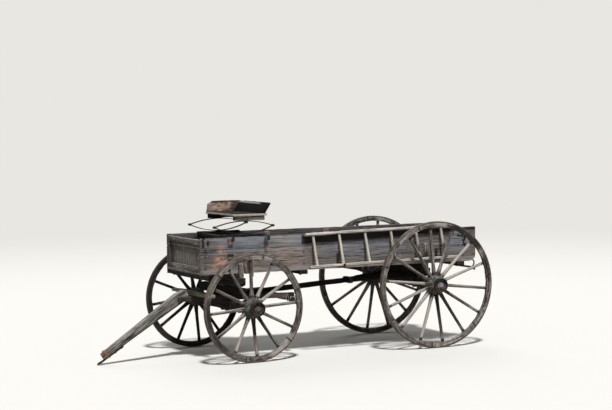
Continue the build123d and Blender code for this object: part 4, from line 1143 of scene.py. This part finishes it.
class WAGON_OT_gear(Operator):
    """Axles, bolsters, hounds, reach and cross bars"""
    bl_idname = "wagon.gear"
    bl_label = "Running gear"

    def execute(self, context):
        size = context.scene.wagon_sizes
        beam = dict(arris=size.beam_arris, chip=size.beam_chip, warp=0.0, step=size.cut_every)
        grimed, grey, silvered = [material(f"oak_hewn_{look}") for look in ("grimed", "grey", "silvered")]
        for node, name, wood, body in (
            ("bolsters", "bolsters_hewn", grimed, "box_and_reach"),
            ("reach", "reach_pole", grimed, "box_and_reach"),
            ("rear_axle", "rear_axle_hewn", grimed, "box_and_reach"),
            ("rear_hounds", "rear_hounds_hewn", grimed, "box_and_reach"),
            ("front_axle", "front_axle_hewn", grimed, "front_carriage"),
            ("sand_bolster", "sand_bolster_hewn", grimed, "front_carriage"),
        ):
            timbers(node, name, wood, body, "gear_wood", **beam)

        # The sway bar and the outer faces of the hounds' rear ends take the pale silvered oak: painted light
        def lit_sway_bar(face):
            return 1 if face.center.x < KING_BOLT.x - 0.3 else 0

        def lit_hound_ends(face):
            rear = KING_BOLT.x - 0.60 < face.center.x < KING_BOLT.x - 0.40
            return 1 if rear and face.normal.y * face.center.y > 0 and abs(face.normal.y) > 0.7 else 0

        for node, woods, pick in (
            ("front_hounds", [grimed, silvered], lit_hound_ends),
            ("hound_bars", [grey, silvered], lit_sway_bar),
        ):
            timbers(node, f"{node}_hewn", woods, "front_carriage", "gear_wood", pale=1.0, pick=pick, **beam)
        return {"FINISHED"}


class WAGON_OT_tongue(Operator):
    """The short hewn drawbar tongue"""
    bl_idname = "wagon.tongue"
    bl_label = "Tongue"

    def execute(self, context):
        timbers("tongue", "tongue_hewn", material("oak_hewn_silvered"), "tongue", "gear_wood",
                arris=11 * MM, chip=4 * MM, step=0.035, width_step=0.03)
        return {"FINISHED"}


class WAGON_OT_seat(Operator):
    """Seat board, back, end panel and rails"""
    bl_idname = "wagon.seat"
    bl_label = "Seat"

    def execute(self, context):
        size = context.scene.wagon_sizes
        board = dict(arris=size.board_arris, chip=size.board_chip * 1.2, warp=size.warp, step=0.05)

        # Upright faces of the seat board take the near-black oak: painted shade on its front
        def top_and_foot(face):
            return 1 if abs(face.normal.z) > 0.7 else 0

        # Faces low by the box, on the far side or not facing sideways take the near-black oak: painted shade
        def in_the_shade(face):
            near_box = face.center.z < SIDE_HIGH.z + 0.03
            return 1 if near_box or face.center.y < 0 or abs(face.normal.y) < 0.7 else 0

        timbers("seat_board", "seat_board_sawn",
                [material("oak_sawn_edge_bleached"), material("oak_sawn_edge_worn")],
                "box_and_reach", "seat_wood", pick=top_and_foot, **board)
        timbers("seat_rails", "seat_rails_sawn",
                [material("oak_sawn_bleached"), material("oak_hewn_grimed")],
                "box_and_reach", "seat_wood", pick=in_the_shade, **board)
        for node, name, wood in (
            ("seat_back", "seat_back_sawn", "oak_sawn_black_stained"),
            ("seat_end_panel", "seat_end_panel_sawn", "oak_sawn_brown_worn"),
            ("seat_cross_bars", "seat_cross_bars_sawn", "oak_hewn_grimed"),
        ):
            timbers(node, name, material(wood), "box_and_reach", "seat_wood", **board)
        return {"FINISHED"}


class WAGON_OT_ladder(Operator):
    """Rails and rungs of the ladder on the left side"""
    bl_idname = "wagon.ladder"
    bl_label = "Ladder"

    def execute(self, context):
        timbers("ladder_rails", "ladder_rails_sawn", material("pine_sawn_bleached"), "box_and_reach",
                "ladder_wood", arris=4 * MM, chip=3 * MM, warp=4 * MM, step=0.06)
        timbers("ladder_rungs", "ladder_rungs_turned", material("ash_turned_bleached"), "box_and_reach",
                "ladder_wood", arris=0.0, chip=0.0, warp=5 * MM, step=0.03)
        return {"FINISHED"}


class WAGON_OT_irons(Operator):
    """Rust on the axle arms, springs, straps, loops, hooks and bolts"""
    bl_idname = "wagon.irons"
    bl_label = "Irons"

    def execute(self, context):
        finishes = {
            "wrought_iron_forged_rusted": ("carriage_irons", "end_rods", "king_bolt", "ladder_hooks",
                                           "reach_irons", "side_irons", "tongue_iron"),
            "cast_iron_sand_cast": ("rear_skeins",),
            "cast_iron_rusted": ("front_skeins",),
            "spring_steel_rolled": ("seat_springs_lower", "seat_springs_upper"),
        }
        for finish, nodes in finishes.items():
            for node in nodes:
                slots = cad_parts[node].material_slots
                if not slots:
                    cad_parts[node].data.materials.append(material(finish))
                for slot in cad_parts[node].material_slots:
                    slot.material = material(finish)
        low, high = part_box("side_loops")

        def red(face):
            at = face.center
            return 1 if at.z > high.z - 0.022 and at.y > 0 and at.x > (low.x + high.x) / 2 - 0.005 else 0

        timbers("side_loops", "side_loops_forged",
                [material("wrought_iron_forged_rusted"), material("wrought_iron_red_paint")],
                "box_and_reach", "iron", arris=1.0 * MM, chip=0.0, step=0.02, pick=red)
        return {"FINISHED"}


class WAGON_OT_fasteners(Operator):
    """Carriage bolts, square nuts, nails and the clips round the axles"""
    bl_idname = "wagon.fasteners"
    bl_label = "Fasteners"

    def execute(self, context):
        size = context.scene.wagon_sizes
        head = size.bolt_head
        rusted = material("wrought_iron_forged_rusted")
        outside = SIDE_HIGH.y
        top = SIDE_HIGH.z
        bolts, nails, gate_bolts = [], [], []
        for low, high in boxes_of("side_cleats"):
            side = 1 if low.y > 0 else -1
            x = (low.x + high.x) / 2
            for z in (low.z + 0.045, low.z + 0.165, top - 0.085):
                bolts += bolt_head((x, side * outside, z), (0, side, 0), head * 0.8)
        boards = boxes_of("floor_boards")
        for low, high in boxes_of("floor_sills"):
            middle = (low.x + high.x) / 2
            for side in (1, -1):
                bolts += square_nut((middle, side * 0.40, low.z), (0, 0, -1), size.nut_side)
            for board_low, board_high in boards:
                for share in (0.18, 0.82):
                    y = board_low.y + (board_high.y - board_low.y) * share
                    x = middle + 0.02 * math.sin(y * 90)
                    nails += bolt_head((x, y, board_high.z), (0, 0, 1), 4.5 * MM, 1.2 * MM)
        for low, high in boxes_of("front_gate_battens"):
            tall = high.z - low.z > high.y - low.y
            for share in (0.08, 0.36, 0.64, 0.92):
                y = (low.y + high.y) / 2 if tall else low.y + (high.y - low.y) * share
                z = low.z + (high.z - low.z) * share if tall else (low.z + high.z) / 2
                nails += bolt_head((high.x, y, z), (1, 0, 0), 5.5 * MM, 1.6 * MM)
        for low, high in boxes_of("tail_gate_battens"):
            for share in (0.1, 0.5, 0.9):
                z = low.z + (high.z - low.z) * share
                gate_bolts += square_nut((low.x, (low.y + high.y) / 2, z), (-1, 0, 0), size.nut_side * 0.8)
        for low, high in boxes_of("side_irons"):
            side = 1 if low.y > 0 else -1
            tall = high.z - low.z > 0.06
            places = ((0.2, 0.75) if tall else (0.35,))
            for share in places:
                z = low.z + (high.z - low.z) * share
                at = ((low.x + high.x) / 2, side * (outside + 5 * MM), z)
                bolts += bolt_head(at, (0, side, 0), head * 0.8)
        for low, high in boxes_of("ladder_hooks"):
            for down in (0.022, 0.062):
                bolts += bolt_head(
                    ((low.x + high.x) / 2, outside + 8 * MM, SIDE_LOW.z + 0.16 - down), (0, 1, 0), head * 0.75
                )
        make_piece("bolts_box", bolts, rusted, "box_and_reach", slot="iron")
        make_piece("nails_box", nails, rusted, "box_and_reach", slot="iron")
        make_piece("bolts_tail_gate", gate_bolts, rusted, "tail_gate", slot="iron")
        self.seat(rusted)
        self.axles(rusted)
        self.tongue(size.nut_side * 0.8)
        self.ladder(rusted)
        return {"FINISHED"}

    def seat(self, rusted):
        low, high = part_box("seat_springs_upper")
        spring_y, half_leaf, half_bar, eye = 0.355, 0.023, 0.024, 13 * MM
        shapes = []
        for side in (1, -1):
            for x in (low.x + eye, high.x - eye):
                for out in (1, -1):
                    y = side * (spring_y + out * half_leaf)
                    shapes += bolt_head((x, y, low.z + eye), (0, side * out, 0), 9 * MM, 6 * MM)
            middle = (low.x + high.x) / 2
            for x in (middle - 0.03, middle + 0.03):
                shapes.append(flat_bar((x - 4 * MM, side * spring_y - half_bar, high.z - 4 * MM),
                                       (x + 4 * MM, side * spring_y + half_bar, high.z + 0.02)))
        make_piece("bolts_seat_springs", shapes, rusted, "box_and_reach", slot="iron")

    def axles(self, rusted):
        half_axle, rod, clips_y = 0.045, 6 * MM, (-0.47, 0.47, -0.30, 0.30)

        def by_rear_axle(x, y, z):
            return Vector((REAR_AXLE.x + x, y, z))

        for name, body, at, node in (
            ("clips_front_axle", "front_carriage", steered, "front_axle"),
            ("clips_rear_axle", "box_and_reach", by_rear_axle, "rear_axle"),
        ):
            low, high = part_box(node)
            out = half_axle + rod
            shapes = []
            for y in clips_y:
                across = at(0, y + 1, 0) - at(0, y, 0)
                corners = [(-out, low.z - rod), (out, low.z - rod), (out, high.z + rod), (-out, high.z + rod)]
                path = []
                for k, (x, z) in enumerate(corners):
                    nx, nz = corners[(k + 1) % 4]
                    path += [at(x + (nx - x) * share, y, z + (nz - z) * share) for share in (0.06, 0.5, 0.94)]
                shapes.append(round_iron(path, rod, across, closed=True))
            make_piece(name, shapes, rusted, body, slot="iron")
        knobs = []
        for side in (1, -1):
            end = steered(-0.590, side * 0.470, 0.597)
            out = (steered(0, side, 0) - steered(0, 0, 0)).normalized()
            rows = [(9, -1), (9, 3), (18, 5), (24, 11), (25, 18), (23, 25), (16, 32), (6, 35)]
            knobs.append(stacked(end, out, [(r * MM, h * MM) for r, h in rows], 16))
        make_piece("knobs_sway_bar", knobs, rusted, "front_carriage", slot="iron", smooth=60)

    def tongue(self, nut):
        up = (on_tongue(0, 0, 1) - on_tongue(0, 0, 0)).normalized()
        shapes = []
        for x in (0.80, 0.88, 0.96):
            shapes += bolt_head(on_tongue(x, 0, tongue_top(x) - 1 * MM), up, 12 * MM)
            shapes += square_nut(on_tongue(x, 0, -0.058), -up, nut)
        # The band at the tip, with its edges worn round
        rings, half_wide = [], 0.034
        section = ((1, 0.6), (0.7, 1), (-0.7, 1), (-1, 0.6), (-1, -0.7), (-0.7, -1), (0.7, -1), (1, -0.7))
        for x in (0.966, 0.968, 0.992, 0.994):
            grow = 2.5 * MM if x in (0.966, 0.994) else 4 * MM
            middle = (tongue_top(x) - TONGUE_UNDER) / 2
            half_high = (tongue_top(x) + TONGUE_UNDER) / 2 + grow
            rings.append([on_tongue(x, y * (half_wide + grow), middle + z * half_high) for y, z in section])
        shapes.append(rings_shape(rings))
        make_piece("bolts_tongue", shapes, material("wrought_iron_orange_rust"), "tongue", slot="iron")

    def ladder(self, rusted):
        shapes = []
        for solid in solids_of("ladder_rungs"):
            axes, middle, half = timber_axes(solid)
            along = axes[0].copy()
            centre = axes.transposed() @ middle
            solid.free()
            for way in (1, -1):
                end = centre + along * way * (half[0] + 26.2 * MM)
                shapes += bolt_head(end, along * way, 5 * MM, 1.5 * MM)
        make_piece("nails_ladder", shapes, rusted, "box_and_reach", slot="iron")


class WAGON_OT_hooks(Operator):
    """The hook, chain and bent rods that hang on the box"""
    bl_idname = "wagon.hooks"
    bl_label = "Hooks and chain"

    def execute(self, context):
        rusted, bright = material("wrought_iron_forged_rusted"), material("wrought_iron_worn")
        y = SIDE_HIGH.y
        rear, top, low = SIDE_LOW.x, SIDE_HIGH.z, SIDE_LOW.z
        x_dir, y_dir, z_dir = Vector((1, 0, 0)), Vector((0, 1, 0)), Vector((0, 0, 1))
        # Tail gate latch on the left side: a bar on the side with a link and a hook that hang from its end
        bar = Vector((rear + 0.170, y + 5 * MM, top - 0.088))
        shapes = [round_iron([bar + x_dir * 0.068, bar + x_dir * 0.03, bar], 5 * MM, z_dir)]
        link = Vector((rear + 0.162, y + 9 * MM, top - 0.112))
        shapes.append(chain_link(link, Vector((-0.15, 0, -1)).normalized(), x_dir, 0.052, 0.026, 7 * MM))
        shank = [link + Vector((-0.003, 0.002, -0.018)), link + Vector((-0.008, 0.002, -0.045))]
        shank += arc_points(link + Vector((-0.020, 0.002, -0.062)), x_dir, z_dir, 13 * MM, 15, -170, 7)
        shapes.append(round_iron(shank, 7 * MM, y_dir))
        # Rod under the rear end of the floor, with its hook turned up at the corner and a ball at its end
        rod_y = y - 0.045
        rod = []
        for x, z in ((0.34, -0.012), (0.25, -0.036), (0.12, -0.058), (0.03, -0.072)):
            rod.append(Vector((rear + x, rod_y, low + z)))
        shapes.append(round_iron(rod, 11 * MM, y_dir))
        hook = [rod[-1]]
        for x, z in ((0.006, -0.058), (-0.008, -0.03), (-0.004, -0.004), (0.018, 0.012)):
            hook.append(Vector((rear + x, rod_y, low + z)))
        shapes.append(round_iron(hook, 8 * MM, y_dir))
        ball = Vector((rear - 0.008, rod_y, low - 0.093))
        rows = [(5, -14), (11, -10), (14, -3), (14, 3), (11, 10), (5, 14)]
        shapes.append(stacked(ball, z_dir, [(r * MM, h * MM) for r, h in rows], 12))
        shapes.append(round_iron([rod[-1], (rod[-1] + ball) / 2, ball], 6 * MM, y_dir))
        make_piece("hooks_box_rear", shapes, rusted, "box_and_reach", slot="iron", smooth=60)
        # Short chain and its eye at the front end of the left side
        eye = Vector((SIDE_HIGH.x - 0.052, y + 12 * MM, top - 0.030))
        shapes = [round_iron(arc_points(eye, x_dir, z_dir, 12 * MM, 0, 340, 12), 4 * MM, y_dir, closed=True)]
        shapes += hanging_chain(eye - z_dir * 0.008, 4, 32 * MM, 6 * MM)
        make_piece("chain_box_front", shapes, bright, "box_and_reach", slot="iron", smooth=60)
        return {"FINISHED"}


class WAGON_OT_stage(Operator):
    """Pale floor, soft light and the camera"""
    bl_idname = "wagon.stage"
    bl_label = "Stage"

    def execute(self, context):
        scene = context.scene
        look = scene.wagon_colours
        stage = scene.wagon_stage
        bm = bmesh.new()
        bmesh.ops.create_circle(bm, cap_ends=True, radius=stage.floor_radius, segments=96)
        mesh = bpy.data.meshes.new("floor")
        bm.to_mesh(mesh)
        bm.free()
        floor = bpy.data.objects.new("floor", mesh)
        scene.collection.objects.link(floor)
        paper, tree, shader = new_material("paper_matt_pale")
        pale = tuple(look.floor)
        # The eye sees a pale floor, but it throws up only as much light as dry grass would
        bounced = add_node(tree, "ShaderNodeLightPath").outputs["Is Diffuse Ray"]
        colour = mixed(tree, bounced, pale, tuple(look.floor_bounce))
        tree.links.new(colour, shader.inputs["Base Color"])
        shader.inputs["Roughness"].default_value = 0.95
        shader.inputs["Specular IOR Level"].default_value = 0.1
        # Far out the floor takes the background's colour, so that no horizon shows
        place = add_node(tree, "ShaderNodeTexCoord").outputs["Object"]
        away = add_node(tree, "ShaderNodeVectorMath", {0: place}, operation="LENGTH").outputs["Value"]
        glow = add_node(tree, "ShaderNodeEmission", {"Color": pale, "Strength": 1.0})
        far = mask_of(tree, away, *FLOOR_FADES)
        joined = add_node(tree, "ShaderNodeMixShader", {0: far, 1: shader.outputs[0], 2: glow.outputs[0]})
        out = next(n for n in tree.nodes if n.type == "OUTPUT_MATERIAL")
        tree.links.new(joined.outputs[0], out.inputs["Surface"])
        mesh.materials.append(paper)
        floor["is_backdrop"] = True

        world = bpy.data.worlds.new("studio")
        scene.world = world
        world.use_nodes = True
        tree = world.node_tree
        tree.nodes.clear()
        path = add_node(tree, "ShaderNodeLightPath")
        seen = maths(tree, "MAXIMUM", path.outputs["Is Camera Ray"], path.outputs["Is Glossy Ray"])
        seen = maths(tree, "MAXIMUM", seen, path.outputs["Is Transmission Ray"])
        white = {"Color": (1, 1, 1, 1), "Strength": stage.fill_strength}
        light = add_node(tree, "ShaderNodeBackground", white)
        back = add_node(tree, "ShaderNodeBackground", {"Color": pale, "Strength": 1.0})
        both = add_node(tree, "ShaderNodeMixShader", {0: seen, 1: light.outputs[0], 2: back.outputs[0]})
        add_node(tree, "ShaderNodeOutputWorld", {"Surface": both.outputs[0]})

        # Each sun's strength, how wide it is in degrees, and the direction that it shines from
        for name, strength, spread, place in (
            ("key", stage.key_strength, 6, (0.25, 1.0, 1.75)),
            ("back", stage.back_strength, 40, (-0.3, -1.0, 0.8)),
        ):
            sun = bpy.data.lights.new(name, "SUN")
            sun.energy = strength
            sun.angle = math.radians(spread)
            lamp = bpy.data.objects.new(name, sun)
            lamp.rotation_euler = Vector(place).to_track_quat("Z", "Y").to_euler()
            scene.collection.objects.link(lamp)

        lens = bpy.data.cameras.new("camera")
        lens.lens = stage.lens
        lens.sensor_width = 36
        lens.clip_end = 400
        camera = bpy.data.objects.new("camera", lens)
        right = Vector(CAMERA_RIGHT).normalized()
        forward = Vector(CAMERA_AHEAD)
        forward = (forward - right * forward.dot(right)).normalized()
        up = right.cross(forward)
        turn = Matrix((right, up, -forward)).transposed().to_4x4()
        camera.matrix_world = Matrix.Translation(CAMERA_PLACE) @ turn
        scene.collection.objects.link(camera)
        scene.camera = camera
        scene.view_settings.view_transform = "Standard"
        return {"FINISHED"}


class WAGON_PT_panel(Panel):
    bl_idname = "WAGON_PT_panel"
    bl_label = "Farm wagon"
    bl_space_type = "VIEW_3D"
    bl_region_type = "UI"
    bl_category = "Wagon"

    def draw(self, context):
        for operator in OPERATORS:
            self.layout.operator(operator.bl_idname)
        for group in ("wagon_sizes", "wagon_colours", "wagon_stage"):
            values = getattr(context.scene, group)
            box = self.layout.box()
            for key in values.__annotations__:
                box.prop(values, key)


GROUPS = (WagonColours, WagonSizes, WagonStage)
OPERATORS = (
    WAGON_OT_box, WAGON_OT_gear, WAGON_OT_tongue, WAGON_OT_wheels, WAGON_OT_seat, WAGON_OT_ladder,
    WAGON_OT_irons, WAGON_OT_fasteners, WAGON_OT_hooks, WAGON_OT_stage,
)


def register():
    for one in GROUPS + OPERATORS + (WAGON_PT_panel,):
        bpy.utils.register_class(one)
    bpy.types.Scene.wagon_colours = PointerProperty(type=WagonColours)
    bpy.types.Scene.wagon_sizes = PointerProperty(type=WagonSizes)
    bpy.types.Scene.wagon_stage = PointerProperty(type=WagonStage)


def unregister():
    del bpy.types.Scene.wagon_stage
    del bpy.types.Scene.wagon_sizes
    del bpy.types.Scene.wagon_colours
    for one in reversed(GROUPS + OPERATORS + (WAGON_PT_panel,)):
        bpy.utils.unregister_class(one)


def main():
    register()
    bpy.ops.wagon.box()
    bpy.ops.wagon.gear()
    bpy.ops.wagon.tongue()
    bpy.ops.wagon.wheels()
    bpy.ops.wagon.seat()
    bpy.ops.wagon.ladder()
    bpy.ops.wagon.irons()
    bpy.ops.wagon.fasteners()
    bpy.ops.wagon.hooks()
    bpy.ops.wagon.stage()
    boxes = {"cad": CAD_BOX, "visual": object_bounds()}
    {key: [list(corner) for corner in value] for key, value in boxes.items()}


if __name__ == "__main__":
    main()
